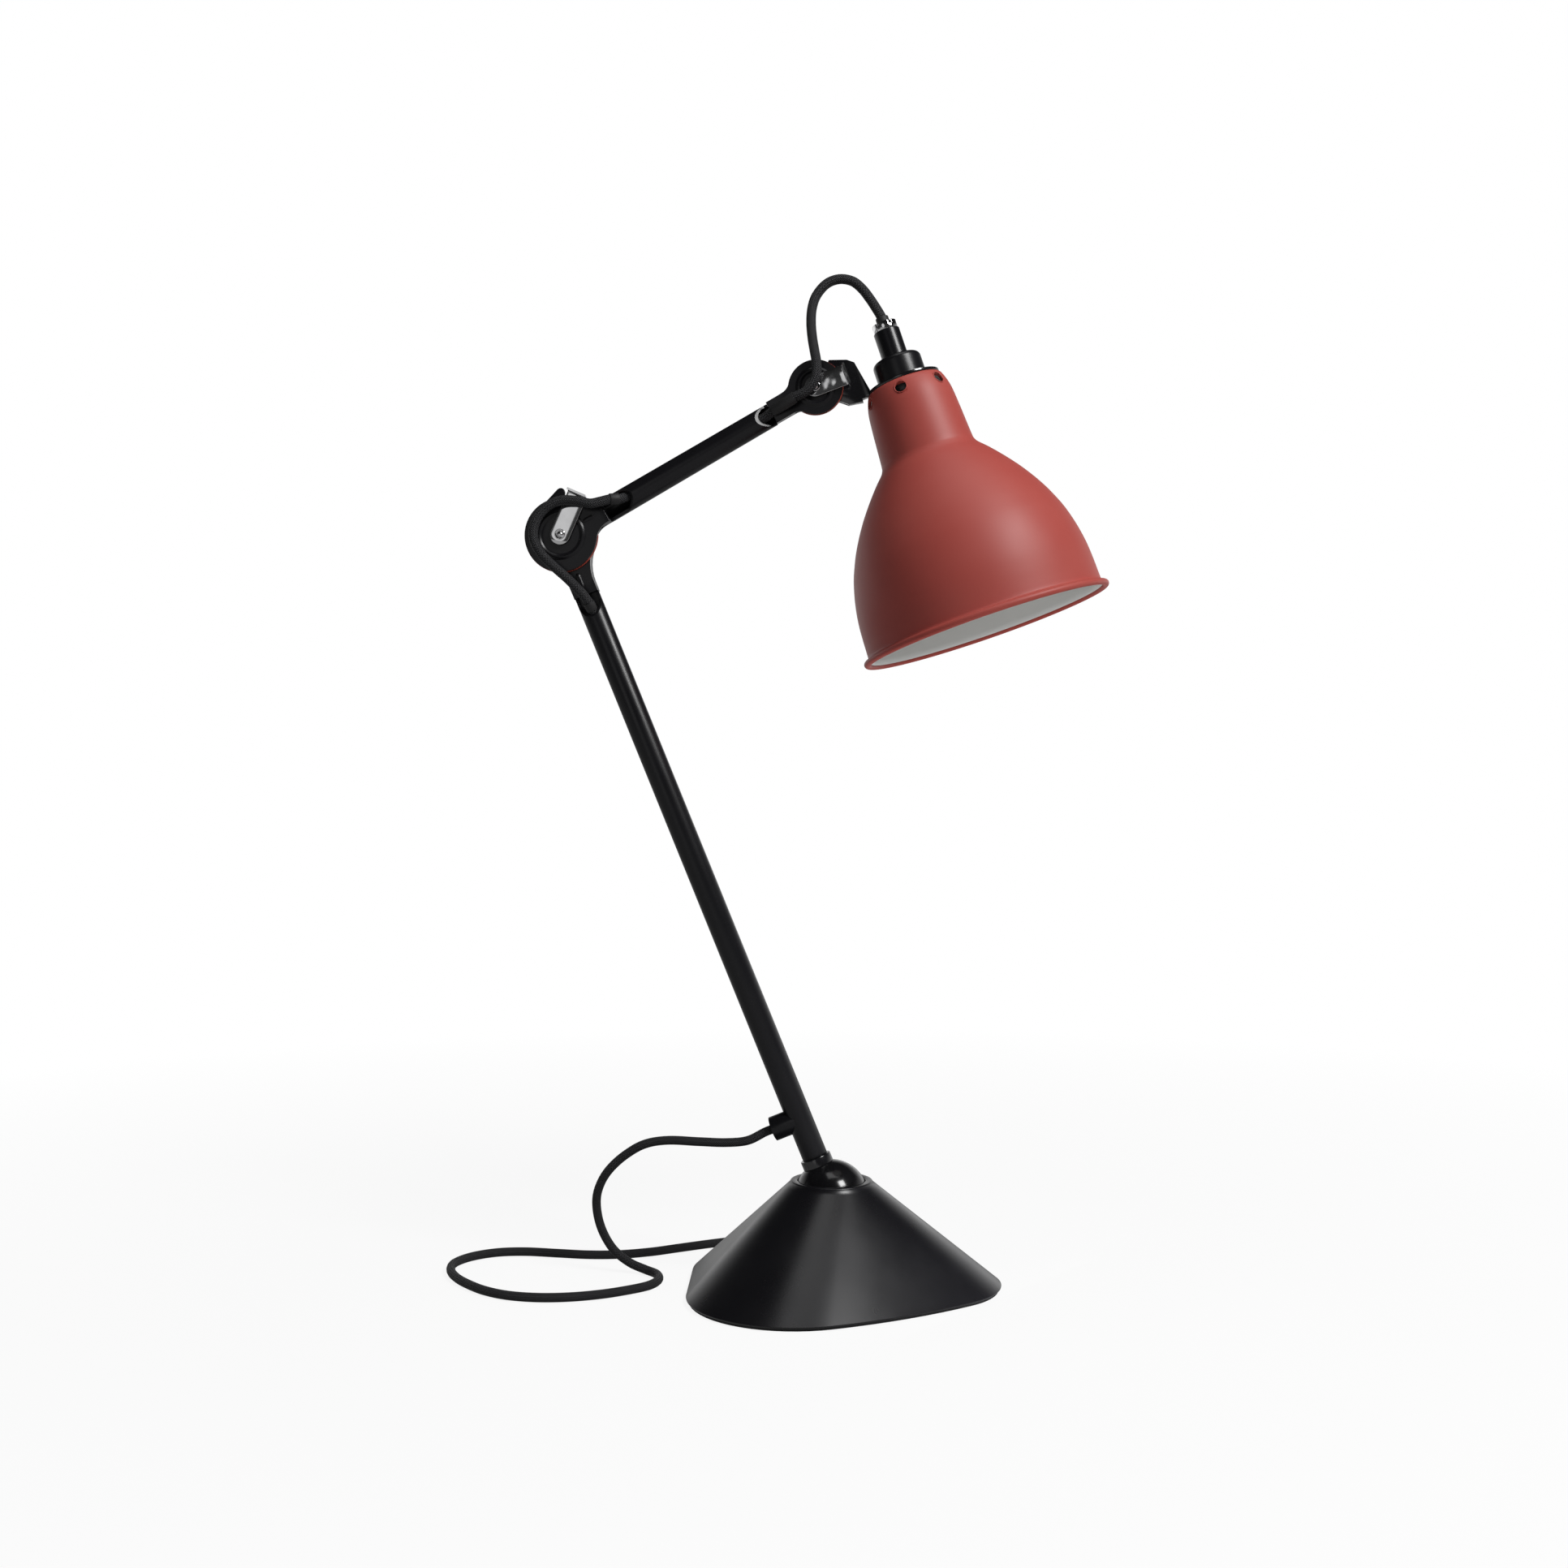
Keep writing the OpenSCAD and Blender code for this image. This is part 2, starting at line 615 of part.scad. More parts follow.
// Round channel from p0 to p1
module channel(p0, p1, r) {
    d = p1 - p0;
    translate(p0) rotate([0, acos(d[2] / norm(d)), atan2(d[1], d[0])]) cylinder(r = r, h = norm(d));
}
module head_fork() {
    color([0.06, 0.06, 0.065]) difference() {
        on_upper(upper_len)
            fork(head_r, head_rear_r, head_cheek_y, cheek_t - 0.3, upper_r2, upper_neck, upper_bore, 9.4, head_flare);
        on_head() pin_y(head_bolt_r + fit, -20, 20);
        // Slot in the front cheek for the flex and its sleeve
        translate(head)
            channel(1.75 * head_route[2] - 0.75 * head_route[4], head_route[4], flex_r + 0.8);
    }
}
module head_bolt() {
    color("silver") on_head() {
        pin_y(head_bolt_r, -head_cheek_out - lever_t - 1, head_cheek_out + 4.6);
        dome(2.9, 1.2, -head_cheek_out - lever_t - 0.8);
    }
}
module head_nut() {
    color("silver") on_head() difference() {
        translate([0, head_cheek_out + 0.05, 0]) rotate([-90, 0, 0]) cylinder(r = 4.8, h = 4, $fn = 6);
        pin_y(head_bolt_r + fit, head_cheek_out - 1, head_cheek_out + 6);
    }
}
module head_washers() {
    color([0.55, 0.12, 0.08]) on_head()
        washer_pair(head_r + 0.3, head_rear_r, head_bolt_r + fit, bracket_w / 2 + rub, head_washer_t);
}
module head_lever() {
    color("gainsboro") on_head(head_lever_turn)
        flag_lever(head_lever_len, head_cheek_out + 0.5 + rub, head_bolt_r + fit);
}

// Head: the bracket's side outline is measured from the head bolt, [x, z]
module head_bracket() {
    side = concat(
        arc([0, 0], 12.5, 65, 300, 24),
        [[12.7, -7.4], [18, -9.4], [29.6, -7.4], [30.8, -3.4], [21.2, 13.6], [17, 15.1], [7.2, 15.2]]
    );
    sheet = (bracket_w - 1.7) / 2;
    color([0.05, 0.05, 0.055]) difference() {
        union() {
            on_head() plate(-bracket_w / 2, sheet) polygon(side);
            on_head() plate(bracket_w / 2 - sheet, sheet) polygon(side);
            // Web that closes the channel towards the ring
            on_head() plate(-bracket_w / 2, bracket_w)
                polygon([[18.2, -9.4], [29.6, -7.4], [30.8, -3.4], [23.2, 9.8], [21.6, 9], [27.2, -2.8], [18.2, -5.8]]);
            on_shade() cylinder(r = ring_r, h = ring_t);
        }
        on_shade() translate([0, 0, -1]) cylinder(r = skirt_r + fit, h = ring_t + 2);
        on_shade() translate([0, 0, -8]) cylinder(r = ring_r + 4, h = 8);
        on_shade() translate([0, 0, ring_t]) cylinder(r = cap_r + ease, h = 20);
        on_head() pin_y(head_bolt_r + fit, -20, 20);
    }
}
module holder_cap() {
    color([0.05, 0.05, 0.055]) on_shade() difference() {
        rotate_extrude() polygon(concat(
            [[0, cap_z], [cap_r, cap_z]],
            arc([cap_r - 3, spout_z - 3], 3, 0, 90, 8),
            [[spout_r, spout_z], [spout_r, nut_z], [0, nut_z]]
        ));
        translate([0, 0, cap_z - 1]) cylinder(r = cap_r - 1.6, h = cap_h - 1.5);
        cylinder(r = flex_r + 0.5, h = nut_z + 1);
    }
}
module top_nut() {
    color("gainsboro") on_shade() difference() {
        translate([0, 0, nut_z]) cylinder(r = spout_r - 0.5, h = nut_h);
        translate([0, 0, nut_z - 1]) cylinder(r = flex_r + 1, h = nut_h + 2);
        for (a = [0:60:300]) rotate(a) translate([4, -1.1, nut_z + nut_h - 2]) cube([6, 2.2, 3]);
    }
}
module cord_grip() {
    color([0.04, 0.04, 0.04]) on_shade() difference() {
        translate([0, 0, nut_z]) cylinder(r = flex_r + 0.9, h = grip_len);
        translate([0, 0, nut_z - 1]) cylinder(r = flex_r + fit, h = grip_len + 2);
    }
}
module holder_skirt() {
    color("ivory") on_shade() difference() {
        translate([0, 0, -skirt_h]) cylinder(r = skirt_r, h = skirt_h + cap_z);
        translate([0, 0, -skirt_h - 1]) cylinder(r = skirt_r - 1.8, h = skirt_h + cap_z + 2);
    }
}
module holder_insulator() {
    color("ivory") on_shade() {
        translate([0, 0, -5]) cylinder(r = skirt_r - 1.8 - fit, h = 5);
        difference() {
            translate([0, 0, -skirt_h + 2]) cylinder(r = skirt_r - 1.8 - fit, h = skirt_h - 7);
            translate([0, 0, -skirt_h + 1]) cylinder(r = shell_r + fit, h = skirt_h - 6);
        }
    }
}
module screw_shell() {
    color("goldenrod") on_shade() difference() {
        translate([0, 0, -skirt_h + 3]) cylinder(r = shell_r, h = skirt_h - 10);
        translate([0, 0, -skirt_h + 2]) cylinder(r = shell_r - shell_wall, h = skirt_h - 8);
    }
}
module holder_contacts() {
    color("goldenrod") on_shade() {
        translate([-3.5, -1.5, -5.8]) cube([7, 3, 0.8]);
        translate([-1.5, -1.5, -8]) cube([3, 3, 2.3]);
    }
}
module shade_ring() {
    color("ivory") on_shade() difference() {
        translate([0, 0, -shade_wall - 5]) cylinder(r = 16.5, h = 5 - rub);
        translate([0, 0, -shade_wall - 6]) cylinder(r = skirt_r + fit, h = 7);
    }
}

// Shade, drawn from its rim upwards: the bell is a quarter ellipse
bell_a = shade_r - bead_r - 1.6;
bell_z = 5;
function bell_radius(z, k) = (bell_a - k) * sqrt(1 - pow(max(z - bell_z, 0) / (bell_b - k), 2));
// Height of the ellipse that meets the neck's radius at the top of the bell
bell_b = (bell_h - bell_z) / sqrt(1 - pow(neck_r1 / bell_a, 2));
function bell_side(k, n) =
    [for (i = [0:n]) let (z = 1 + (bell_h - 1.2 - k - 1) * i / n) [bell_radius(z, k), z]];
function shade_side(k) = concat(
    bell_side(k, 22),
    [[neck_r1 - k + 0.2, bell_h + 2], [neck_r2 - k, shade_h - shoulder_h - k / 3], [top_r - k / 2, shade_h - k]]
);
function reversed(l) = [for (i = [len(l) - 1:-1:0]) l[i]];
module shade() {
    hole = skirt_r + fit;
    color([0.55, 0.09, 0.07]) on_shade() translate([0, 0, -shade_h]) difference() {
        union() {
            rotate_extrude($fn = 96) polygon(concat(
                shade_side(0), [[hole, shade_h], [hole, shade_h - shade_wall]], reversed(shade_side(shade_wall))
            ));
            translate([0, 0, bead_r]) rotate_extrude($fn = 96)
                translate([shade_r - bead_r, 0]) circle(r = bead_r, $fn = 24);
        }
        for (i = [0:vent_count - 1]) rotate(vent_turn + 360 * i / vent_count)
            translate([0, 0, shade_h - vent_drop]) rotate([0, 90 - vent_lean, 0])
                translate([0, 0, 8]) cylinder(r = vent_r, h = 30);
    }
}
module bulb_cap() {
    color("silver") on_shade() {
        translate([0, 0, -skirt_h + 1]) cylinder(r = shell_r - shell_wall - fit, h = skirt_h - 11);
        translate([0, 0, -10.2]) cylinder(r1 = 5, r2 = 2.5, h = 2);
    }
}
module bulb_glass() {
    c = -skirt_h - 4 - bulb_r;
    color([0.95, 0.95, 0.9]) on_shade() rotate_extrude($fn = 64) polygon(concat(
        [[0, -skirt_h + 1], [shell_r - shell_wall, -skirt_h + 1], [shell_r + 1.2, -skirt_h - 3]],
        arc([0, c], bulb_r, 52, -90, 24)
    ));
}

// Cords: hand-chosen points, in millimetres
module elbow_flex() {
    color([0.04, 0.04, 0.045]) translate(elbow) cord(elbow_route, flex_r);
}
// Measured from the head bolt, up and over into the lampholder
head_route = [
    [-31.4, -2.4, -17.6], [-27.6, -3.6, -15.6], [-23.4, -5.6, -13], [-17.1, -7.8, -9.8], [-10.8, -10, -6.6],
    [-5.2, -11.2, -4.2], [-0.6, -11.6, 0.6], [1.2, -11.4, 6.4], [1, -10.4, 12.4], [-0.2, -8.8, 19],
    [-1.6, -6.8, 27], [-2.4, -4.8, 35.6], [-2, -2.8, 44], [0.3, -1.2, 51.4], [5.8, -0.4, 57.8],
    [12.7, 0, 60.3], [19.9, 0, 59], [25.2, 0, 54.8], [29.4, 0, 49.4], [32.8, 0, 44.2]
];
head_end = [
    for (z = [nut_z + grip_len, nut_z + 3.5, nut_z - 3])
    [shade_out * cos(shade_tilt) - (z - shade_drop) * sin(shade_tilt), 0,
     shade_out * sin(shade_tilt) + (z - shade_drop) * cos(shade_tilt)]
];
module head_sleeve() {
    color([0.04, 0.04, 0.04]) translate(head) sleeve(head_route[2], head_route[4], flex_r + 0.5);
}
module head_flex() {
    color([0.04, 0.04, 0.045]) translate(head) cord(concat(head_route, head_end), flex_r);
}

// Mains lead: out of the boss, down to the table, along it and round behind
lead_boss = [0, 0, ball_z] + boss_up * lower_dir
    - boss_reach * [cos(arm_lean), 0, sin(arm_lean)];
lead_out = [
    for (d = [0, 5]) lead_boss - d * [cos(arm_lean), 0, sin(arm_lean)]
];
coil_at = [-13, 136];
coil_r = 39;
coil_turns = 35 / 6;
coil_pitch = 5.45;
coil_steps = 24;
coil_low = lead_r;
coil_high = lead_r + coil_pitch;
lead_route = [
    [-46.7, 0, 79.6], [-59, 1, 78], [-74, 2, 78], [-92, 4, 78], [-105.3, 5, 75.5],
    [-116.3, 7, 69.2], [-125.4, 8.5, 61.2], [-131.4, 10, 52.6], [-134.6, 12, 42.6], [-134, 14, 31], [-130.6, 15.5, 20.6],
    [-124.7, 16, 11.9], [-116, 15.6, 5.6], [-106.6, 13, 2.7], [-98.8, 5, 2.5], [-95.8, -6, 2.5],
    [-98.8, -17.4, 2.5], [-107.6, -27, 2.5], [-121, -37, 2.5], [-137, -44.2, 2.5], [-154, -47, 2.5],
    [-170.6, -44.8, 2.5], [-185, -37.6, 2.5], [-197, -27.2, 2.5], [-208, -14.4, 2.5],
    [-216, 0.5, 2.5], [-218.5, 16, 2.5], [-212.5, 31, 2.5], [-200, 41.5, 2.5], [-184, 45, 2.5],
    [-165, 43.5, 2.5], [-146, 42, 2.5], [-128, 44.5, 2.5], [-111, 52, 2.5], [-96, 62.5, 2.5],
    [-81, 73, 2.5], [-65, 82.8, 2.5], [-47, 91, 2.5], [-31, 95.6, 2.5],
    [coil_at[0] - 5, coil_at[1] - coil_r, 2.5]
];
module lead_run() {
    color([0.04, 0.04, 0.045]) cord(concat(lead_out, lead_route), lead_r);
}
// The coil spirals in on the table and out again on top of itself
function coil_radius(t) = coil_r - coil_pitch * min(t, coil_turns - t);
function coil_height(t) =
    let (k = (t - coil_turns / 2 + 0.25) / 0.5)
    coil_low + (coil_high - coil_low) * min(max(k, 0), 1);
function coil_point(t) = [
    coil_at[0] + coil_radius(t) * cos(360 * t - 90), coil_at[1] + coil_radius(t) * sin(360 * t - 90), coil_height(t)
];
coil_count = coil_turns * coil_steps;
coil_last = 360 * coil_turns - 90;
coil_path = concat(
    [[coil_at[0] - 5, coil_at[1] - coil_r, coil_low]],
    [for (i = [0:coil_count]) coil_point(i / coil_steps)],
    [coil_point(coil_turns) + 5 * [-sin(coil_last), cos(coil_last), 0]]
);
coil_gap = min([for (i = [0:coil_count], j = [i + 12:coil_count + 1])
    if (j <= coil_count) norm(coil_path[i] - coil_path[j])]) - lead_d;
echo(coil_gap = coil_gap);
module lead_coil() {
    color([0.04, 0.04, 0.045]) cord(coil_path, lead_r, 6);
}
// From the coil's top a wider bend lifts the lead to the plug
plug_at = [-6, 124.5, 17.3];
bend_at = [-26.5, 122.4];
bend_r = 20.5;
bend_rise = [
    [225, 8.8], [240, 10.3], [255, 11.7], [270, 13], [285, 13.9], [300, 14.8], [315, 15.6], [330, 16.4],
    [345, 17], [360, 17.3]
];
tail_route = concat(
    [coil_path[len(coil_path) - 1]],
    [for (b = bend_rise) [bend_at[0] + bend_r * cos(b[0]), bend_at[1] + bend_r * sin(b[0]), b[1]]],
    [plug_at + [0, 3, 0]]
);
module lead_tail() {
    color([0.04, 0.04, 0.045]) cord(tail_route, lead_r);
}
// Two-pin plug lying on the coil, its pins away from the foot
relief_len = 21;
plug_len = 33;
plug_w = 26;
plug_t = 13;
module plug_body() {
    color([0.04, 0.04, 0.04]) translate(plug_at) rotate([-90, 0, 0]) {
        difference() {
            cylinder(r1 = lead_r + 0.9, r2 = 5.4, h = relief_len);
            translate([0, 0, -1]) cylinder(r = lead_r + fit, h = 4);
        }
        translate([0, 0, relief_len]) hull() {
            for (x = [-1, 1]) translate([x * (plug_w - plug_t) / 2, 0, 6]) cylinder(d = plug_t, h = plug_len - 6, $fn = 32);
            cylinder(d = 11, h = 1, $fn = 32);
        }
    }
}
module plug_pins() {
    color("silver") for (x = [-1, 1])
        translate(plug_at + [x * pin_gap / 2, relief_len + plug_len, 0]) rotate([-90, 0, 0]) cylinder(d = pin_d, h = pin_len);
}

base_casting();
base_weight();
base_plate();
foot_pad();
plate_screws();
tension_screw();
spring_washers();
ball_seat();
pressure_cup();
ball();
ball_stud();
lower_collar();
tube_plug();
lower_tube();
cord_boss();
boss_bush();
inner_cord_lower();
tongue_front();
tongue_rear();
tongue_rivets();
lower_sleeve();
elbow_fork();
elbow_bolt();
elbow_nut();
elbow_washers();
elbow_lever();
upper_tube();
upper_sleeve();
inner_cord_upper();
head_fork();
head_sleeve();
head_bolt();
head_nut();
head_washers();
head_lever();
head_bracket();
holder_cap();
top_nut();
cord_grip();
holder_skirt();
holder_insulator();
screw_shell();
holder_contacts();
shade_ring();
shade();
bulb_cap();
bulb_glass();
elbow_flex();
head_flex();
lead_run();
lead_coil();
lead_tail();
plug_body();
plug_pins();
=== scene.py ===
"""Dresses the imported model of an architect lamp: smooth spun and stamped metal,
braided cords, enamels and chrome, with a plain studio around it."""
import json
from math import atan2, copysign, cos, degrees, pi, radians, sin, sqrt

import bmesh
import bpy
from bpy.props import FloatProperty, FloatVectorProperty, IntProperty, PointerProperty
from mathutils import Matrix, Vector


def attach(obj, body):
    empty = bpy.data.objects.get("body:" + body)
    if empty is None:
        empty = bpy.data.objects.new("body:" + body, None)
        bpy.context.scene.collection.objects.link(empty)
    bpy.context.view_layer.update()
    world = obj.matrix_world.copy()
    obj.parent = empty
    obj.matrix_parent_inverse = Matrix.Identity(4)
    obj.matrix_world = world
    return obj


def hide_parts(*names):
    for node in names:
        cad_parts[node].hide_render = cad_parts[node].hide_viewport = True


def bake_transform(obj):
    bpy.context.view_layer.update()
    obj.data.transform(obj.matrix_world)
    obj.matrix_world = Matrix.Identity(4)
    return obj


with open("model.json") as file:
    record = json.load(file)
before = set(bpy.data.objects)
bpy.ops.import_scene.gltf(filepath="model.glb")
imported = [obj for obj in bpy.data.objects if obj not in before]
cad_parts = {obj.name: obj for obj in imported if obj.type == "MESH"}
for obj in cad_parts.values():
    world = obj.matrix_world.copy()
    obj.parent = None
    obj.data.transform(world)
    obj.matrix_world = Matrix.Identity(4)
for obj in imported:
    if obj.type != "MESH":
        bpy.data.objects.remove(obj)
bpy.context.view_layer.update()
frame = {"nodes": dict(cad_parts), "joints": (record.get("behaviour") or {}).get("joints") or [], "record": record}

bl_info = {
    "name": "Architect lamp",
    "version": (1, 0, 0),
    "blender": (4, 5, 0),
    "location": "3D View > Sidebar > Lamp",
    "description": "Builds the visible pieces, finishes and studio of an architect lamp",
    "category": "Object",
}

MM = 0.001
JOINTS = {joint["name"]: Vector(joint["pos_m"]) for joint in frame["joints"]}
BODIES = frame["record"]["behaviour"]["bodies"]
BALL = JOINTS["arm_tilt"]
ELBOW = JOINTS["elbow"]
HEAD = JOINTS["head"]

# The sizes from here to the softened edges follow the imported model, in millimetres and degrees

# Arms
ARM_LEAN = 22.35
UPPER_RISE = 29.1
UPPER_LEN = 163.2
LOWER_R = 7.1
UPPER_R1 = 6.9
UPPER_R2 = 6.5
LOWER_NECK = 36.0
UPPER_NECK = 28.0
BOSS_UP = 46.4
BOSS_REACH = 16.0

# Foot, with its nose in front, two corners behind and the round rim above them
FOOT_H = 59.0
FOOT_TURN = 5.0
NOSE_X = 46.5
NOSE_R = 47.0
BACK_X = 20.5
BACK_Y = 26.0
CORNER_R = 58.0
PAD_T = 1.5
FOOT_EDGE = 0.9
UNDERSIDE_W = 5.0
RIM_R = 22.9
MOUTH_R = 18.8
MOUTH_DEPTH = 6.0

# Elbow, where the lower arm's two tongues lie between the upper arm's two cheeks
ELBOW_R = 20.6
ELBOW_REAR_R = 17.5
ELBOW_FLARE = 12.0
ELBOW_RING_R = 12.4
TONGUE_R = 18.8
TONGUE_Y = 3.5
TONGUE_FLARE = 26.0
CHEEK_Y = 5.0
CHEEK_T = 1.5
ELBOW_FACE = CHEEK_Y + CHEEK_T
ELBOW_BOLT_R = 3.0
ELBOW_DOME_R = 1.9
ELBOW_NUT_REACH = 5.2
ELBOW_LEVER_LEN = 25.4
ELBOW_LEVER_TURN = 66

# Ear on the elbow's rear cheek, (x, z) from the axis: its rear side, its round tip and its front foot
EAR_REAR = [(-12, 10), (-10.6, 21.4)]
EAR_TIP = (-2.8, 25.8)
EAR_TIP_R = 2.5
EAR_FRONT = (-0.3, 12)

# Head joint
HEAD_R = 15.0
HEAD_REAR_R = 12.6
HEAD_FLARE = 8.0
HEAD_RING_R = 9.4
HEAD_CHEEK_Y = 4.0
HEAD_CHEEK_T = 1.2
HEAD_FACE = HEAD_CHEEK_Y + HEAD_CHEEK_T
HEAD_BOLT_R = 2.5
HEAD_DOME_R = 1.7
HEAD_NUT_REACH = 4.6
HEAD_LEVER_LEN = 19.0
HEAD_LEVER_TURN = 19.6

# What both joints share: the slimmer neck of the rear cheek, the web, the pressed ring and the rib
REAR_SLIM = 1.4
WEB_GAP = 1.2
RING_HALF_W = 1.9
RING_H = 0.9
RIB_SUNK = 0.7

# Clamp levers, whose ends are turned up into a lip
LEVER_W = 11.4
LEVER_T = 1.2
LEVER_GAP = 0.6
LEVER_EDGE = 0.16
LEVER_BEND_R = 1.7
LIP_LEN = 2.9
LIP_REACH = 5.5
LIP_CORNER_R = 1.2

# Clamp bolts: the shank's end, the dome's rise as a share of its radius, and the black ring of painted shade round
# the dome
BOLT_CHAMFER = 0.4
BOLT_SUNK = 0.2
DOME_SHARE = 0.55
DOME_UP = 0.25
# The black ring stands in for the shade in the recess round the dome
DARK_RING_GAP = 0.02
DARK_RING_MID = 0.75
DARK_RING_EDGE = 0.35

# Shade and lampholder
SHADE_TILT = 18.5
SHADE_OUT = 46.5
SHADE_DROP = 14.3
SHADE_H = 142.0
SHADE_R = 70.0
SHADE_WALL = 1.2
SHADE_HOLE = 12.45
NECK_Z = 100
NECK_R = 24.0
WALL_FOOT = (66.75, 4.3)
WALL_FOOT_IN = [(65.5, 3.0), (66.3, 1.9)]
VENT_TURN = -98
VENT_DROP = 12.7
VENT_LEAN = 17
VENT_EDGE_R = 0.28
DRILL_FROM = 8
DRILL_TO = 38
CAP_R = 13.6
CAP_LOW = 1.5
SPOUT_R = 7.3
SPOUT_LOW = 15.2
NUT_Z = 31.2

# Bulb under the lampholder's skirt. Its neck flares at (out from its radius, up from the skirt's edge),
# and its globe starts at that many degrees
SKIRT_DROP = 36.0
BULB_NECK_R = 7.1
BULB_NECK_LEN = 4
BULB_NECK = ((0, 1), (0.5, -1), (1.6, -3.4))
BULB_R = 22.0
BULB_FROM = 58

# Softened copies, where closer points are welded, flatter faces joined and sharper edges rounded
SAME_POINT = 0.002
FLAT_ANGLE = 0.6
SHARP_ANGLE = 32

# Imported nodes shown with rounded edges, and how far each edge is taken back
SOFT_EDGES = (
    ("head_bracket", 0.35), ("tongue_rear", 0.35), ("lower_collar", 0.35), ("cord_boss", 0.5),
    ("boss_bush", 0.3), ("elbow_nut", 0.3), ("head_nut", 0.25), ("top_nut", 0.2), ("cord_grip", 0.35),
    ("lower_sleeve", 0.2), ("upper_sleeve", 0.2), ("head_sleeve", 0.2), ("lower_tube", 0.15),
    ("upper_tube", 0.15),
)

# Pieces with a glossier coat than the rest of their slot
GLOSSY = {"head_bracket": ["gloss_enamel"], "lower_collar": ["gloss_enamel"]}

# The pale card that the chrome reflects: its direction, the cosines of its soft edge, its brightness
CARD_WAY = (-0.27, -0.956, 0.112)
CARD_EDGE = (0.976, 0.981)
CARD_LIGHT = 0.62

# What else the lamp reflects, the even light on it, and what the floor shows and throws back
ROOM_LIGHT = 0.012
EVEN_LIGHT = 0.19
FLOOR_BOUNCE = 0.38
FLOOR_SEEN = 0.9
FLOOR_MIRRORED = 0.35
FLOOR_GLOW = 0.89
GLOW_SPREAD = (0.3, 1.1)
FLOOR_HALF = 6000
FLOOR_SUNK = 0.2

# Where the mirrored room fades out, upwards from the horizon and forwards from the back wall
FADE_UP = (0.1, 0.5)
FADE_BACK = (-0.25, 0.5)
FRONT_LIGHT = 0.03

# Studio lamps, (name, place, width, height, watts) in metres, aimed at the lamp's middle
LAMP_MIDDLE = (0.03, 0, 0.36)
STUDIO_LAMPS = (
    ("key_softbox", (1.0, -0.78, 1.45), 0.55, 0.55, 21),
    ("top_softbox", (0.1, -0.2, 1.6), 0.8, 0.6, 2.6),
    ("back_rim", (0.5, 1.6, 0.7), 1.4, 1.0, 1.0),
)
# Pale card on the table that lights the shade's inside
MOUTH_CARD = ("mouth_card", (0.16, -0.05, 0.02), 0.2, 0.2, 0.55)

# Camera, metres and degrees: how far round, away, up and aside of the foot's axis it stands
CAMERA_TURN = 6
CAMERA_AWAY = 0.9556
CAMERA_UP = 0.2673
CAMERA_ASIDE = 0.0262
SENSOR_MM = 36

# The photograph's width, the camera's focal length and how far its horizon is shifted, in pixels
PHOTO_PX = 1932
FOCAL_PX = 2130
SHIFT_PX = 23


def spin_y(degrees_up):
    """Rotation that lifts a direction in the arms' plane by that many degrees."""
    return Matrix.Rotation(radians(-degrees_up), 4, "Y")


LOWER = Matrix.Translation(BALL) @ spin_y(ARM_LEAN)
AT_ELBOW = Matrix.Translation(ELBOW)
UPPER = AT_ELBOW @ Matrix.Rotation(radians(90 - UPPER_RISE), 4, "Y")
AT_HEAD = Matrix.Translation(HEAD)
SHADE = AT_HEAD @ spin_y(SHADE_TILT) @ Matrix.Translation(Vector((SHADE_OUT, 0, -SHADE_DROP)) * MM)
MOUTH = SHADE @ Matrix.Translation((0, 0, -SHADE_H * MM))


# Meshes


def finish_mesh(name, bm, matrix=Matrix.Identity(4), sharp=35):
    """Object from a bmesh drawn in millimetres in the frame of matrix."""
    bmesh.ops.recalc_face_normals(bm, faces=bm.faces)
    mesh = bpy.data.meshes.new(name)
    bm.to_mesh(mesh)
    bm.free()
    mesh.transform(matrix @ Matrix.Scale(MM, 4))
    mesh.shade_smooth()
    mesh.set_sharp_from_angle(angle=radians(sharp))
    obj = bpy.data.objects.new(name, mesh)
    bpy.context.scene.collection.objects.link(obj)
    return obj


def add_sections(bm, sections, closed_ends=True, loop=False):
    """Skin over rings of points, all with the same count. Gives the rings' vertices."""
    rings = [[bm.verts.new(point) for point in ring] for ring in sections]
    pairs = list(zip(rings, rings[1:]))
    if loop:
        pairs.append((rings[-1], rings[0]))
    for low, high in pairs:
        for i in range(len(low)):
            j = (i + 1) % len(low)
            bm.faces.new((low[i], low[j], high[j], high[i]))
    if closed_ends and not loop:
        bm.faces.new(rings[0][::-1])
        bm.faces.new(rings[-1])
    return rings


def add_lathe(bm, profile, steps=96, turn=Matrix.Identity(4), material=0):
    """Turned shape about z from (radius, height) points. A point on the axis closes it."""
    rings = []
    for radius, height in profile:
        if radius < 1e-6:
            rings.append([bm.verts.new(turn @ Vector((0, 0, height)))])
            continue
        angles = [2 * pi * i / steps for i in range(steps)]
        points = [(radius * cos(a), radius * sin(a), height) for a in angles]
        rings.append([bm.verts.new(turn @ Vector(point)) for point in points])
    for low, high in zip(rings, rings[1:]):
        for i in range(steps):
            j = (i + 1) % steps
            corners = [low[i % len(low)], low[j % len(low)], high[j % len(high)], high[i % len(high)]]
            unique = list(dict.fromkeys(corners))
            if len(unique) > 2:
                bm.faces.new(unique).material_index = material


def add_prism(bm, outline, y0, y1, bevel):
    """Plate between y0 and y1 from an outline of (x, z) points, with rounded edges."""
    front = [bm.verts.new((x, y0, z)) for x, z in outline]
    back = [bm.verts.new((x, y1, z)) for x, z in outline]
    faces = [bm.faces.new(front), bm.faces.new(back[::-1])]
    for i in range(len(front)):
        j = (i + 1) % len(front)
        bm.faces.new((front[j], front[i], back[i], back[j]))
    edges = list({edge for face in faces for edge in face.edges})
    bmesh.ops.bevel(bm, geom=edges, offset=bevel, segments=3, profile=0.5, affect="EDGES")


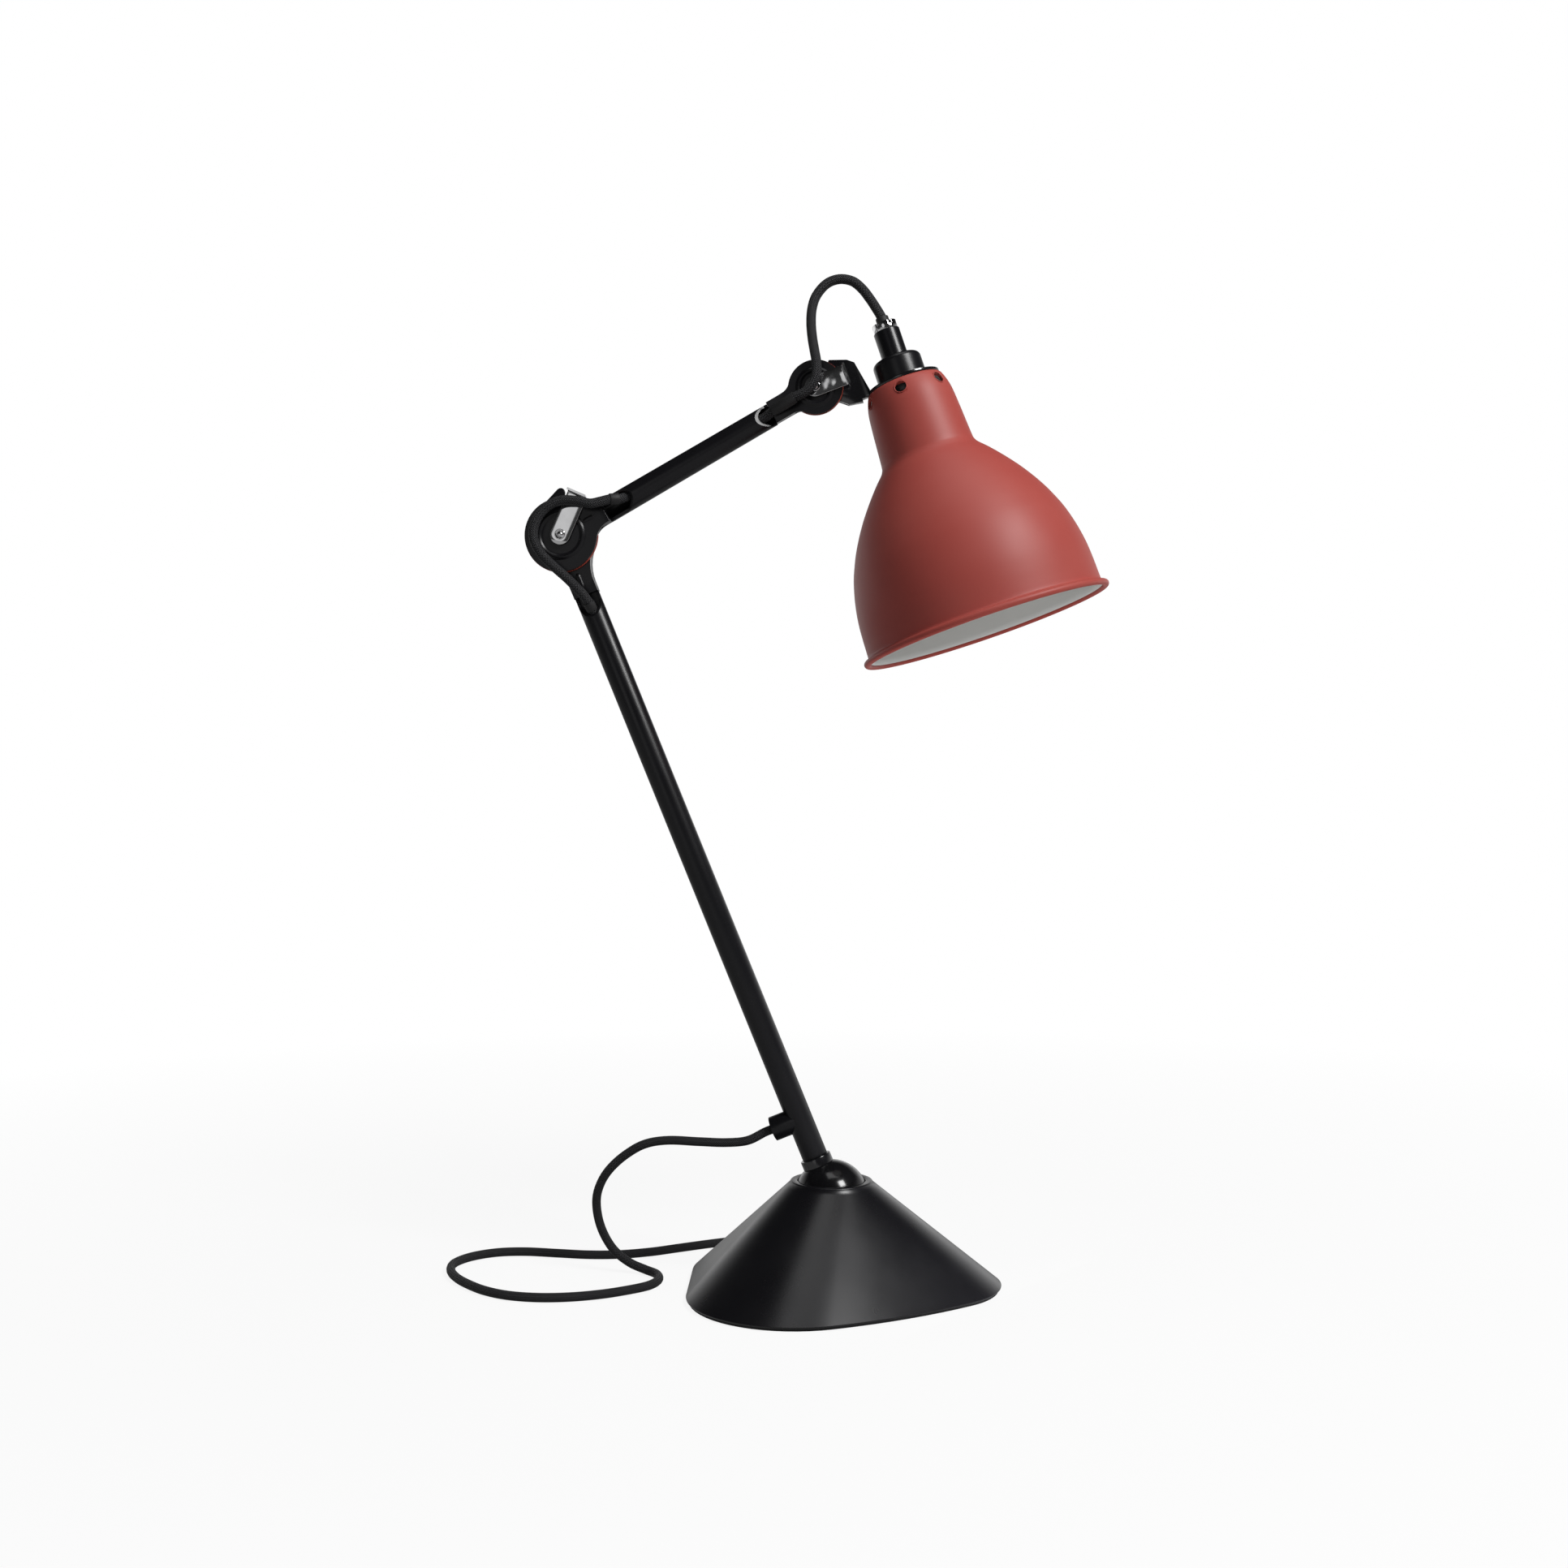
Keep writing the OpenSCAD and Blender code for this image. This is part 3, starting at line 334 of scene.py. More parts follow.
def frames_along(points):
    """Tangent and normal at each point, turning as little as possible from one to the next."""
    tangents = []
    for i in range(len(points)):
        ahead = points[min(i + 1, len(points) - 1)]
        behind = points[max(i - 1, 0)]
        tangents.append((ahead - behind).normalized())
    side = Vector((0, 1, 0)) if abs(tangents[0].y) < 0.8 else Vector((1, 0, 0))
    normals = []
    for tangent in tangents:
        side = (side - tangent * side.dot(tangent)).normalized()
        normals.append(side.copy())
    return list(zip(tangents, normals))


def add_tube(bm, points, radii, sides=24, closed_ends=True):
    """Round tube along points. Its UV map runs along the tube in millimetres, and once round it."""
    if not isinstance(radii, (list, tuple)):
        radii = [radii] * len(points)
    sections = []
    for point, radius, (tangent, normal) in zip(points, radii, frames_along(points)):
        across = tangent.cross(normal)
        sections.append([
            point + radius * (cos(2 * pi * k / sides) * normal + sin(2 * pi * k / sides) * across)
            for k in range(sides)
        ])
    run = [0.0]
    for a, b in zip(points, points[1:]):
        run.append(run[-1] + (b - a).length)
    uv = bm.loops.layers.uv.verify()
    rings = add_sections(bm, sections, closed_ends)
    place = {vert: (i, k) for i, ring in enumerate(rings) for k, vert in enumerate(ring)}
    for face in {face for ring in rings for vert in ring for face in vert.link_faces}:
        around = [place[loop.vert][1] for loop in face.loops]
        wraps = max(around) - min(around) > sides // 2
        for loop, k in zip(face.loops, around):
            turn = k + sides if wraps and k < sides // 2 else k
            loop[uv].uv = (run[place[loop.vert][0]], turn / sides)


def smooth_path(points, step=1.5):
    """Evenly fine curve through the points."""
    points = [Vector(p) for p in points]
    ends = [2 * points[0] - points[1]] + points + [2 * points[-1] - points[-2]]
    path = []
    for a, b, c, d in zip(ends, ends[1:], ends[2:], ends[3:]):
        count = max(1, round((c - b).length / step))
        for i in range(count):
            t = i / count
            path.append(0.5 * (
                2 * b + (c - a) * t + (2 * a - 5 * b + 4 * c - d) * t * t + (3 * b - a - 3 * c + d) * t ** 3
            ))
    return path + [points[-1]]


def arc(centre, radius, start, stop, steps):
    """Points on a circle, angles in degrees."""
    return [
        (centre[0] + radius * cos(radians(start + (stop - start) * i / steps)),
         centre[1] + radius * sin(radians(start + (stop - start) * i / steps)))
        for i in range(steps + 1)
    ]


def disc_neck(radius, half, length, fillet):
    """Outline of a disc that runs out into a neck along -z, with round corners."""
    x = half + fillet
    z = -sqrt((radius + fillet) ** 2 - x * x)
    a = degrees(atan2(-z, x))
    return (
        [(half, -length)] + arc((x, z), fillet, 180, 180 - a, 12)
        + arc((0, 0), radius, -a, 180 + a, 96)[1:-1]
        + arc((-x, z), fillet, a, 0, 12) + [(-half, -length)]
    )


# Shader node groups and materials


class Nodes:
    """Short way to add nodes to a tree and link them."""

    def __init__(self, tree):
        self.tree = tree

    def add(self, kind, links=(), **settings):
        node = self.tree.nodes.new(kind)
        for key, value in settings.items():
            setattr(node, key, value)
        for socket, value in links:
            self.feed(node.inputs[socket], value)
        return node

    def feed(self, socket, value):
        if isinstance(value, bpy.types.NodeSocket):
            self.tree.links.new(value, socket)
        else:
            socket.default_value = value

    def math(self, operation, *values):
        links = [(i, value) for i, value in enumerate(values)]
        return self.add("ShaderNodeMath", links, operation=operation).outputs[0]

    def noise(self, coordinates, scale, detail=3.0, roughness=0.55):
        node = self.add("ShaderNodeTexNoise", [
            ("Vector", coordinates), ("Scale", scale), ("Detail", detail), ("Roughness", roughness),
        ])
        return node.outputs["Fac"]

    def span(self, value, low, high, to_low, to_high):
        node = self.add("ShaderNodeMapRange", [
            (0, value), (1, low), (2, high), (3, to_low), (4, to_high),
        ])
        return node.outputs[0]

    def mix(self, factor, a, b, blend="MIX"):
        node = self.add("ShaderNodeMix", data_type="RGBA", blend_type=blend)
        self.feed(node.inputs[0], factor)
        self.feed(node.inputs[6], a)
        self.feed(node.inputs[7], b)
        return node.outputs[2]


def new_group(name, inputs, outputs):
    """Empty shader node group. Inputs are (name, kind, default), outputs are (name, kind)."""
    group = bpy.data.node_groups.new(name, "ShaderNodeTree")
    for label, kind, default in inputs:
        socket = group.interface.new_socket(label, in_out="INPUT", socket_type="NodeSocket" + kind)
        if default is not None:
            socket.default_value = default
    for label, kind in outputs:
        group.interface.new_socket(label, in_out="OUTPUT", socket_type="NodeSocket" + kind)
    nodes = Nodes(group)
    start = nodes.add("NodeGroupInput")
    end = nodes.add("NodeGroupOutput")
    return nodes, start.outputs, end.inputs


# What a skin group gives its material
SKIN_OUTPUTS = [("Color", "Color"), ("Roughness", "Float"), ("Height", "Float")]


def enamel_group():
    """Sprayed enamel: slight orange peel, cloudy gloss and a few dust specks."""
    nodes, given, gives = new_group(
        "Enamel skin",
        [("Place", "Vector", None), ("Color", "Color", (0.1, 0.1, 0.1, 1)),
         ("Dust Color", "Color", (0.3, 0.3, 0.3, 1)), ("Dust", "Float", 0.3), ("Roughness", "Float", 0.4),
         ("Cloud", "Float", 0.06)],
        SKIN_OUTPUTS,
    )
    cloud = nodes.noise(given["Place"], 28.0)
    peel = nodes.noise(given["Place"], 900.0, 2.0)
    speck = nodes.noise(given["Place"], 2600.0, 1.0)
    dust = nodes.math("MULTIPLY", nodes.span(speck, 0.69, 0.74, 0.0, 1.0), given["Dust"])
    tone = nodes.mix(nodes.span(cloud, 0.3, 0.7, 0.0, 0.12), given["Color"], given["Dust Color"])
    nodes.feed(gives["Color"], nodes.mix(dust, tone, given["Dust Color"]))
    spread = nodes.math("MULTIPLY", nodes.span(cloud, 0.3, 0.7, -1.0, 1.0), given["Cloud"])
    rough = nodes.math("ADD", given["Roughness"], spread)
    nodes.feed(gives["Roughness"], nodes.math("ADD", rough, nodes.math("MULTIPLY", dust, 0.25)))
    nodes.feed(gives["Height"], nodes.math("ADD", peel, nodes.math("MULTIPLY", dust, 0.6)))
    return nodes.tree


def metal_group():
    """Bare metal: hairline scratches, finger haze and, where Wave is high, an uneven polish."""
    nodes, given, gives = new_group(
        "Metal skin",
        [("Place", "Vector", None), ("Color", "Color", (0.7, 0.7, 0.7, 1)), ("Roughness", "Float", 0.2),
         ("Haze", "Float", 0.1), ("Stretch", "Vector", (1, 1, 12)), ("Wave", "Float", 0.0)],
        SKIN_OUTPUTS,
    )
    drawn = nodes.add(
        "ShaderNodeVectorMath", [(0, given["Place"]), (1, given["Stretch"])], operation="MULTIPLY")
    lines = nodes.noise(drawn.outputs[0], 420.0, 4.0, 0.7)
    haze = nodes.noise(given["Place"], 60.0)
    dim = nodes.span(haze, 0.35, 0.75, 0.0, 0.25)
    nodes.feed(gives["Color"], nodes.mix(dim, given["Color"], (0.2, 0.19, 0.18, 1), "MULTIPLY"))
    extra = nodes.math("MULTIPLY", nodes.span(haze, 0.35, 0.7, 0.0, 1.0), given["Haze"])
    fine = nodes.span(lines, 0.3, 0.7, -0.03, 0.03)
    nodes.feed(gives["Roughness"], nodes.math("ADD", nodes.math("ADD", given["Roughness"], extra), fine))
    wave = nodes.math("MULTIPLY", nodes.noise(given["Place"], 130.0, 1.0), given["Wave"])
    nodes.feed(gives["Height"], nodes.math("ADD", lines, wave))
    return nodes.tree


def braid_group():
    """Textile braid: two sets of strands that cross over and under, with a few loose fibres."""
    nodes, given, gives = new_group(
        "Braid",
        [("Run", "Vector", None), ("Strands", "Float", 12.0), ("Pitch", "Float", 1.35)],
        [("Strand", "Float"), ("Height", "Float")],
    )
    split = nodes.add("ShaderNodeSeparateXYZ", [(0, given["Run"])])
    along = nodes.math("DIVIDE", split.outputs[0], given["Pitch"])
    around = nodes.math("MULTIPLY", split.outputs[1], given["Strands"])
    one = nodes.math("ADD", around, along)
    two = nodes.math("SUBTRACT", around, along)
    cells = nodes.math("ADD", nodes.math("FLOOR", one), nodes.math("FLOOR", two))
    odd = nodes.math("ABSOLUTE", nodes.math("MODULO", cells, 2.0))
    crests = [nodes.math("SINE", nodes.math("MULTIPLY", nodes.math("FRACT", way), pi))
              for way in (one, two)]
    over = nodes.math("MULTIPLY", odd, crests[0])
    under = nodes.math("MULTIPLY", nodes.math("SUBTRACT", 1.0, odd), crests[1])
    strand = nodes.math("ADD", over, under)
    fibre = nodes.noise(given["Run"], 9.0, 2.0)
    nodes.feed(gives["Strand"], strand)
    nodes.feed(gives["Height"], nodes.math("ADD", strand, nodes.math("MULTIPLY", fibre, 0.35)))
    return nodes.tree


def grain_group():
    """Moulded grain for rubber, plastic and fibre."""
    nodes, given, gives = new_group(
        "Moulded grain",
        [("Place", "Vector", None), ("Color", "Color", (0.1, 0.1, 0.1, 1)), ("Grain", "Float", 1500.0),
         ("Roughness", "Float", 0.6)],
        SKIN_OUTPUTS,
    )
    grain = nodes.noise(given["Place"], given["Grain"], 3.0)
    patch = nodes.noise(given["Place"], 45.0)
    nodes.feed(gives["Color"], nodes.mix(
        nodes.span(patch, 0.3, 0.7, 0.0, 0.3), given["Color"], (0.75, 0.72, 0.7, 1), "MULTIPLY"))
    uneven = nodes.span(patch, 0.3, 0.7, -0.06, 0.06)
    nodes.feed(gives["Roughness"], nodes.math("ADD", given["Roughness"], uneven))
    nodes.feed(gives["Height"], grain)
    return nodes.tree


def group(name, make):
    """The node group of that name, built the first time it is asked for."""
    return bpy.data.node_groups.get(name) or make()


def material(name, skin=None, given=(), bump=0.0, distance=0.05, coordinates="Object", **sockets):
    """Principled material whose colour, roughness and bump come from a skin group, if it has one."""
    made = bpy.data.materials.new(name)
    made.use_nodes = True
    nodes = Nodes(made.node_tree)
    shader = made.node_tree.nodes["Principled BSDF"]
    for label, value in sockets.items():
        shader.inputs[label.replace("_", " ")].default_value = value
    if skin is None:
        return made, nodes, shader
    place = nodes.add("ShaderNodeTexCoord").outputs[coordinates]
    block = nodes.add("ShaderNodeGroup", node_tree=skin)
    nodes.feed(block.inputs[0], place)
    for label, value in given:
        nodes.feed(block.inputs[label], value)
    if "Color" in block.outputs:
        nodes.feed(shader.inputs["Base Color"], block.outputs["Color"])
        nodes.feed(shader.inputs["Roughness"], block.outputs["Roughness"])
    if bump:
        lift = nodes.add("ShaderNodeBump", [
            ("Strength", bump), ("Distance", distance * MM), ("Height", block.outputs["Height"]),
        ])
        nodes.feed(shader.inputs["Normal"], lift.outputs[0])
    return made, nodes, shader


def colour(rgb, alpha=1.0):
    """Colour with its alpha, as sockets take it."""
    return (*rgb, alpha)


def enamel(name, rgb, rough, dust_rgb, dust=0.25, cloud=0.04, bump=0.12, **sockets):
    """Sprayed finish with its own dust and cloudiness."""
    return material(
        name, group("Enamel skin", enamel_group),
        [("Color", colour(rgb)), ("Dust Color", colour(dust_rgb)), ("Dust", dust), ("Roughness", rough),
         ("Cloud", cloud)],
        bump=bump, distance=0.03, **sockets,
    )[0]


def metal(name, rgb, rough, haze=0.08, stretch=(1, 1, 12), bump=0.1, wave=0.0, **sockets):
    """Bare or plated metal, its scratches drawn out along z."""
    return material(
        name, group("Metal skin", metal_group),
        [("Color", colour(rgb)), ("Roughness", rough), ("Haze", haze), ("Stretch", stretch),
         ("Wave", wave)],
        bump=bump, distance=0.01, Metallic=1.0, **sockets,
    )[0]


def moulded(name, rgb, rough, grain=1500.0, bump=0.25, **sockets):
    """Rubber, plastic, fibre or glass with a fine grain."""
    return material(
        name, group("Moulded grain", grain_group),
        [("Color", colour(rgb)), ("Grain", grain), ("Roughness", rough)],
        bump=bump, distance=0.05, **sockets,
    )[0]


def braided(name, rgb, crown_highlight_rgb, strands, pitch):
    """Braid of that many strands round the cord, whose crowns carry a painted highlight in a lighter colour."""
    made, nodes, shader = material(name)
    run = nodes.add("ShaderNodeTexCoord").outputs["UV"]
    block = nodes.add("ShaderNodeGroup", node_tree=group("Braid", braid_group))
    for label, value in (("Run", run), ("Strands", strands), ("Pitch", pitch)):
        nodes.feed(block.inputs[label], value)
    # Painted highlight: the crown of each strand takes the lighter highlight colour
    painted_crown_highlight = nodes.span(block.outputs["Strand"], 0.55, 1.0, 0.0, 1.0)
    nodes.feed(shader.inputs["Base Color"], nodes.mix(painted_crown_highlight, colour(rgb), colour(crown_highlight_rgb)))
    nodes.feed(shader.inputs["Roughness"], nodes.span(block.outputs["Strand"], 0.0, 1.0, 0.8, 0.5))
    lift = nodes.add("ShaderNodeBump", [
        ("Strength", 0.9), ("Distance", 0.35 * MM), ("Height", block.outputs["Height"]),
    ])
    nodes.feed(shader.inputs["Normal"], lift.outputs[0])
    shader.inputs["Specular IOR Level"].default_value = 0.25
    return made


def make_materials(colours):
    """Every finish on the lamp, by the name of its slot."""
    black = tuple(colours.black)
    red = tuple(colours.red)
    return {
        "black_enamel": enamel(
            "black_enamel", black, 0.3, (0.018, 0.018, 0.02), Specular_IOR_Level=0.34),
        "foot_enamel": enamel(
            "foot_enamel", black, 0.29, (0.025, 0.025, 0.029), cloud=0.03, Specular_IOR_Level=0.42),
        "gloss_enamel": enamel(
            "gloss_enamel", tuple(v * 0.8 for v in black), 0.17, (0.03, 0.03, 0.034), dust=0.1, bump=0.05,
            Specular_IOR_Level=0.8),
        "ball_enamel": enamel(
            "ball_enamel", tuple(v * 0.6 for v in black), 0.16, (0.05, 0.05, 0.05), dust=0.12, cloud=0.02,
            bump=0.05, Specular_IOR_Level=0.5),
        "red_enamel": enamel(
            "red_enamel", red, 0.5, (0.5, 0.14, 0.11), dust=0.1, cloud=0.03, bump=0.1,
            Specular_IOR_Level=0.45),
        "white_enamel": enamel("white_enamel", tuple(colours.inside), 0.45, (0.5, 0.5, 0.48), dust=0.1),
        "cast_iron": metal("cast_iron", (0.2, 0.19, 0.18), 0.65, haze=0.15, stretch=(3, 3, 3), bump=0.5),
        "steel": metal("steel", (0.56, 0.56, 0.57), 0.32),
        "chrome": metal("chrome", tuple(colours.chrome), 0.04, haze=0.04, bump=0.12, wave=4.0),
        "wavy_chrome": metal("wavy_chrome", tuple(colours.chrome), 0.05, haze=0.04, bump=0.5, wave=60.0),
        "rubber": moulded("rubber", (0.012, 0.012, 0.013), 0.62),
        "nylon": moulded("nylon", (0.72, 0.69, 0.6), 0.45),
        "red_fibre": moulded("red_fibre", (0.42, 0.07, 0.045), 0.5, grain=2400.0),
        # The braid's second, lighter colour is a painted highlight on the crowns of its strands
        "braid": braided("braid", (0.003, 0.003, 0.004), (0.06, 0.06, 0.064), 12.0, 1.3),
        "holder_plastic": moulded("holder_plastic", (0.012, 0.012, 0.013), 0.35, bump=0.1),
        "brass": metal("brass", (0.75, 0.52, 0.22), 0.25),
        "bulb_metal": metal("bulb_metal", (0.72, 0.72, 0.73), 0.28),
        "opal_glass": moulded(
            "opal_glass", (0.86, 0.86, 0.83), 0.16, grain=60.0, bump=0.02, Coat_Weight=0.5,
            Coat_Roughness=0.03),
        "plug_plastic": moulded("plug_plastic", (0.013, 0.013, 0.014), 0.42, grain=1200.0, bump=0.3),
    }


finishes = {}


def dress(obj, body, slot, *nodes, finish=None):
    """Gives a new piece its finish, by default the one named after its record slot, puts it on its body and hides
    the CAD nodes that it stands for.
    """
    obj.data.materials.clear()
    for name in finish or [slot]:
        obj.data.materials.append(finishes[name])
    if body:
        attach(obj, body)
    if nodes:
        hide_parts(*nodes)
    return obj


def paint_cad_nodes():
    """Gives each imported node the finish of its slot."""
    for part in frame["record"]["subparts"]:
        node = frame["nodes"][part["node"]]
        node.data.materials.clear()
        node.data.materials.append(finishes[part["material_slot"]])


def soften(node_name, width, finish=None):
    """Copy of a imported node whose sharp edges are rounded, in the node's place."""
    node = frame["nodes"][node_name]
    part = next(part for part in frame["record"]["subparts"] if part["node"] == node_name)
    bm = bmesh.new()
    bm.from_mesh(node.data)
    bm.transform(Matrix.Scale(1 / MM, 4) @ node.matrix_world)
    bmesh.ops.remove_doubles(bm, verts=bm.verts, dist=SAME_POINT)
    bmesh.ops.dissolve_limit(bm, angle_limit=radians(FLAT_ANGLE), verts=bm.verts, edges=bm.edges)
    sharp = [edge for edge in bm.edges
             if len(edge.link_faces) == 2 and edge.calc_face_angle(0) > radians(SHARP_ANGLE)]
    bmesh.ops.bevel(
        bm, geom=sharp, offset=width, segments=2, profile=0.5, affect="EDGES", clamp_overlap=True)
    piece = finish_mesh(node_name + "_soft", bm, sharp=30)
    body = next(name for name, nodes in BODIES.items() if node_name in nodes)
    return dress(piece, body, part["material_slot"], node_name, finish=finish)


# Property groups


def length(name, text, default):
    """Property for a length in metres."""
    return FloatProperty(
        name=name, description=text, default=default, subtype="DISTANCE", unit="LENGTH", precision=4)


def tint(name, text, default):
    """Property for a colour."""
    return FloatVectorProperty(name=name, description=text, default=default, subtype="COLOR", min=0, max=1)


class LampSizes(bpy.types.PropertyGroup):
    """Sizes of the pieces that a user would change"""
    rim_round: length("Rim rounding", "Rounding of the foot's upper rim", 0.0011)
    foot_side: length("Foot side", "Radius of the foot's two bulging sides", 0.285)
    stamp_round: length("Stamped edge", "Rounding of the stamped discs' edges", 0.0004)
    bead: length("Shade bead", "Radius of the bead round the shade's mouth", 0.0018)
    lead_diameter: length("Lead diameter", "Diameter of the mains lead", 0.005)
    flex_diameter: length("Flex diameter", "Diameter of the flex at the joints", 0.0054)
    vent_radius: length("Vent radius", "Radius of the vent holes in the shade's shoulder", 0.0034)
    vent_count: IntProperty(name="Vents", description="Number of vent holes", default=6, min=0, max=8)


class LampColours(bpy.types.PropertyGroup):
    """Colours of the lamp and of the backdrop"""
    black: tint("Black enamel", "Colour of the arms, foot and lampholder", (0.0062, 0.006, 0.0075))
    red: tint("Red enamel", "Colour of the shade's outside", (0.42, 0.066, 0.052))
    inside: tint("Inside enamel", "Colour of the shade's inside", (0.78, 0.78, 0.76))
    chrome: tint("Chrome", "Colour of the levers and nuts", (0.82, 0.82, 0.83))
    backdrop: tint("Backdrop", "Colour of floor and background", (1.0, 1.0, 1.0))


# Operators


def foot_arcs(side):
    """Arcs round the foot, (centre, radius, start, stop, steps), each of them touching the next."""
    nose, corner = Vector((NOSE_X, 0)), Vector((-BACK_X, -BACK_Y))
    p, q = side - NOSE_R, side - CORNER_R
    reach = (corner - nose).length
    u = (corner - nose) / reach
    x = (p * p - q * q + reach * reach) / (2 * reach)
    middle = nose + x * u + sqrt(p * p - x * x) * Vector((u.y, -u.x))
    nose_turn = degrees(atan2(middle.y, middle.x - NOSE_X)) - 180
    back_turn = degrees(atan2(middle.y + BACK_Y, middle.x + BACK_X)) - 180
    far_corner, far_middle = (Vector((point.x, -point.y)) for point in (corner, middle))
    return (
        (corner, CORNER_R, -180, back_turn, 44),
        (middle, side, back_turn, nose_turn, 16),
        (nose, NOSE_R, nose_turn, -nose_turn, 56),
        (far_middle, side, -nose_turn, -back_turn, 16),
        (far_corner, CORNER_R, -back_turn, 180, 44),
    )


def foot_ring(inset, share, height, side):
    """Ring round the foot. At share 1 its arcs have run together into the round rim."""
    ring = []
    for centre, radius, start, stop, steps in foot_arcs(side):
        reach = (1 - share) * (radius - inset) + share * (RIM_R - inset)
        for k in range(steps + 1):
            a = radians(start + (stop - start) * k / steps)
            ring.append(Vector((
                (1 - share) * centre.x + reach * cos(a), (1 - share) * centre.y + reach * sin(a), height)))
    return ring


class LAMP_OT_foot(bpy.types.Operator):
    """Builds the cast foot, a smooth cone over a rounded triangle"""
    bl_idname = "lamp.foot"
    bl_label = "Foot"

    def execute(self, context):
        sizes = context.scene.lamp_sizes
        side = sizes.foot_side / MM
        edge = sizes.rim_round / MM
        bm = bmesh.new()
        low, high = PAD_T + FOOT_EDGE, FOOT_H - edge
        rings = [foot_ring(inset, 0.0, PAD_T, side) for inset in (UNDERSIDE_W, FOOT_EDGE)]
        for a in (radians(30), radians(60), radians(90)):
            rings.append(foot_ring(FOOT_EDGE - FOOT_EDGE * sin(a), 0.0, low - FOOT_EDGE * cos(a), side))
        steps = 26
        for i in range(1, steps + 1):
            rings.append(foot_ring(0.0, i / steps, low + (high - low) * i / steps, side))
        for a in (radians(18), radians(36), radians(54), radians(72), radians(90)):
            rings.append(foot_ring(edge - edge * cos(a), 1.0, high + edge * sin(a), side))
        for out, down in ((0.5, 0.0), (0.15, 0.15), (0.0, 0.5), (0.0, MOUTH_DEPTH)):
            rings.append(foot_ring(RIM_R - MOUTH_R - out, 1.0, FOOT_H - down, side))
        add_sections(bm, rings, closed_ends=False)
        bmesh.ops.remove_doubles(bm, verts=bm.verts, dist=0.001)
        foot = finish_mesh("foot_shell", bm, Matrix.Rotation(radians(FOOT_TURN), 4, "Z"), sharp=50)
        dress(foot, "base", "black_enamel", "base_casting", finish=["foot_enamel"])
        return {"FINISHED"}


def add_rib(bm, depth, start, stop, radius=1.4, step=0.5):
    """Pressed rib along a neck, its back sunk in the sheet."""
    path = smooth_path([(0, depth, start), (0, depth, stop)], step)
    count = len(path) - 1
    add_tube(bm, path, [radius * sqrt(max(0.02, 1 - (2 * i / count - 1) ** 6)) for i in range(count + 1)])


class LAMP_OT_lower_arm(bpy.types.Operator):
    """Builds the stamped tongue at the front of the lower arm's end"""
    bl_idname = "lamp.lower_arm"
    bl_label = "Lower arm"

    def execute(self, context):
        edge = context.scene.lamp_sizes.stamp_round / MM
        turn = AT_ELBOW @ spin_y(ARM_LEAN)
        outline = disc_neck(TONGUE_R, LOWER_R, LOWER_NECK, TONGUE_FLARE)
        bm = bmesh.new()
        add_prism(bm, outline, -TONGUE_Y, -0.05, edge)
        add_rib(bm, -TONGUE_Y + 0.5, -32.5, -22.8, 1.5, 0.6)
        front = finish_mesh("lower_disc_front", bm, turn)
        dress(front, "lower_arm", "black_enamel", "tongue_front")
        return {"FINISHED"}


def add_fork(bm, radius, rear_radius, inner, sheet, half, neck, ring_r, flare, edge):
    """Two cheeks of an arm's end, the web between them and the pressed ring on the front one."""
    add_prism(bm, disc_neck(radius, half, neck, flare), -inner - sheet, -inner, edge)
    slim = half - REAR_SLIM
    add_prism(bm, disc_neck(rear_radius, slim, neck, flare), inner, inner + sheet, edge)
    web = neck - radius - WEB_GAP
    bridge = [(-slim, -neck), (slim, -neck), (slim, -neck + web), (-slim, -neck + web)]
    add_prism(bm, bridge, -inner - 0.2, inner + 0.2, 0.3)
    across = [i / 8 - 1 for i in range(17)]
    ring = [(ring_r + RING_HALF_W * x, RING_H * (1 + cos(pi * x)) / 2) for x in across]
    face = Matrix.Translation((0, -inner - sheet + 0.01, 0)) @ Matrix.Rotation(radians(90), 4, "X")
    add_lathe(bm, ring, turn=face)


class LAMP_OT_elbow(bpy.types.Operator):
    """Builds the upper arm's stamped discs at the elbow"""
    bl_idname = "lamp.elbow"
    bl_label = "Elbow"

    def execute(self, context):
        edge = context.scene.lamp_sizes.stamp_round / MM
        bm = bmesh.new()
        add_fork(
            bm, ELBOW_R, ELBOW_REAR_R, CHEEK_Y, CHEEK_T, UPPER_R1, UPPER_NECK, ELBOW_RING_R, ELBOW_FLARE,
            edge)
        add_rib(bm, -ELBOW_FACE + RIB_SUNK, -ELBOW_R - 1, -ELBOW_RING_R - 2)
        fork = finish_mesh("elbow_cheeks", bm, UPPER @ Matrix.Rotation(pi, 4, "Y"))
        ear = bmesh.new()
        outline = EAR_REAR + arc(EAR_TIP, EAR_TIP_R, 135, 0, 10) + [EAR_FRONT]
        add_prism(ear, outline, CHEEK_Y + 0.05, ELBOW_FACE - 0.05, 0.3)
        ear_piece = finish_mesh("elbow_ear", ear, AT_ELBOW)
        dress(fork, "upper_arm", "black_enamel", "elbow_fork")
        dress(ear_piece, "upper_arm", "black_enamel")
        return {"FINISHED"}


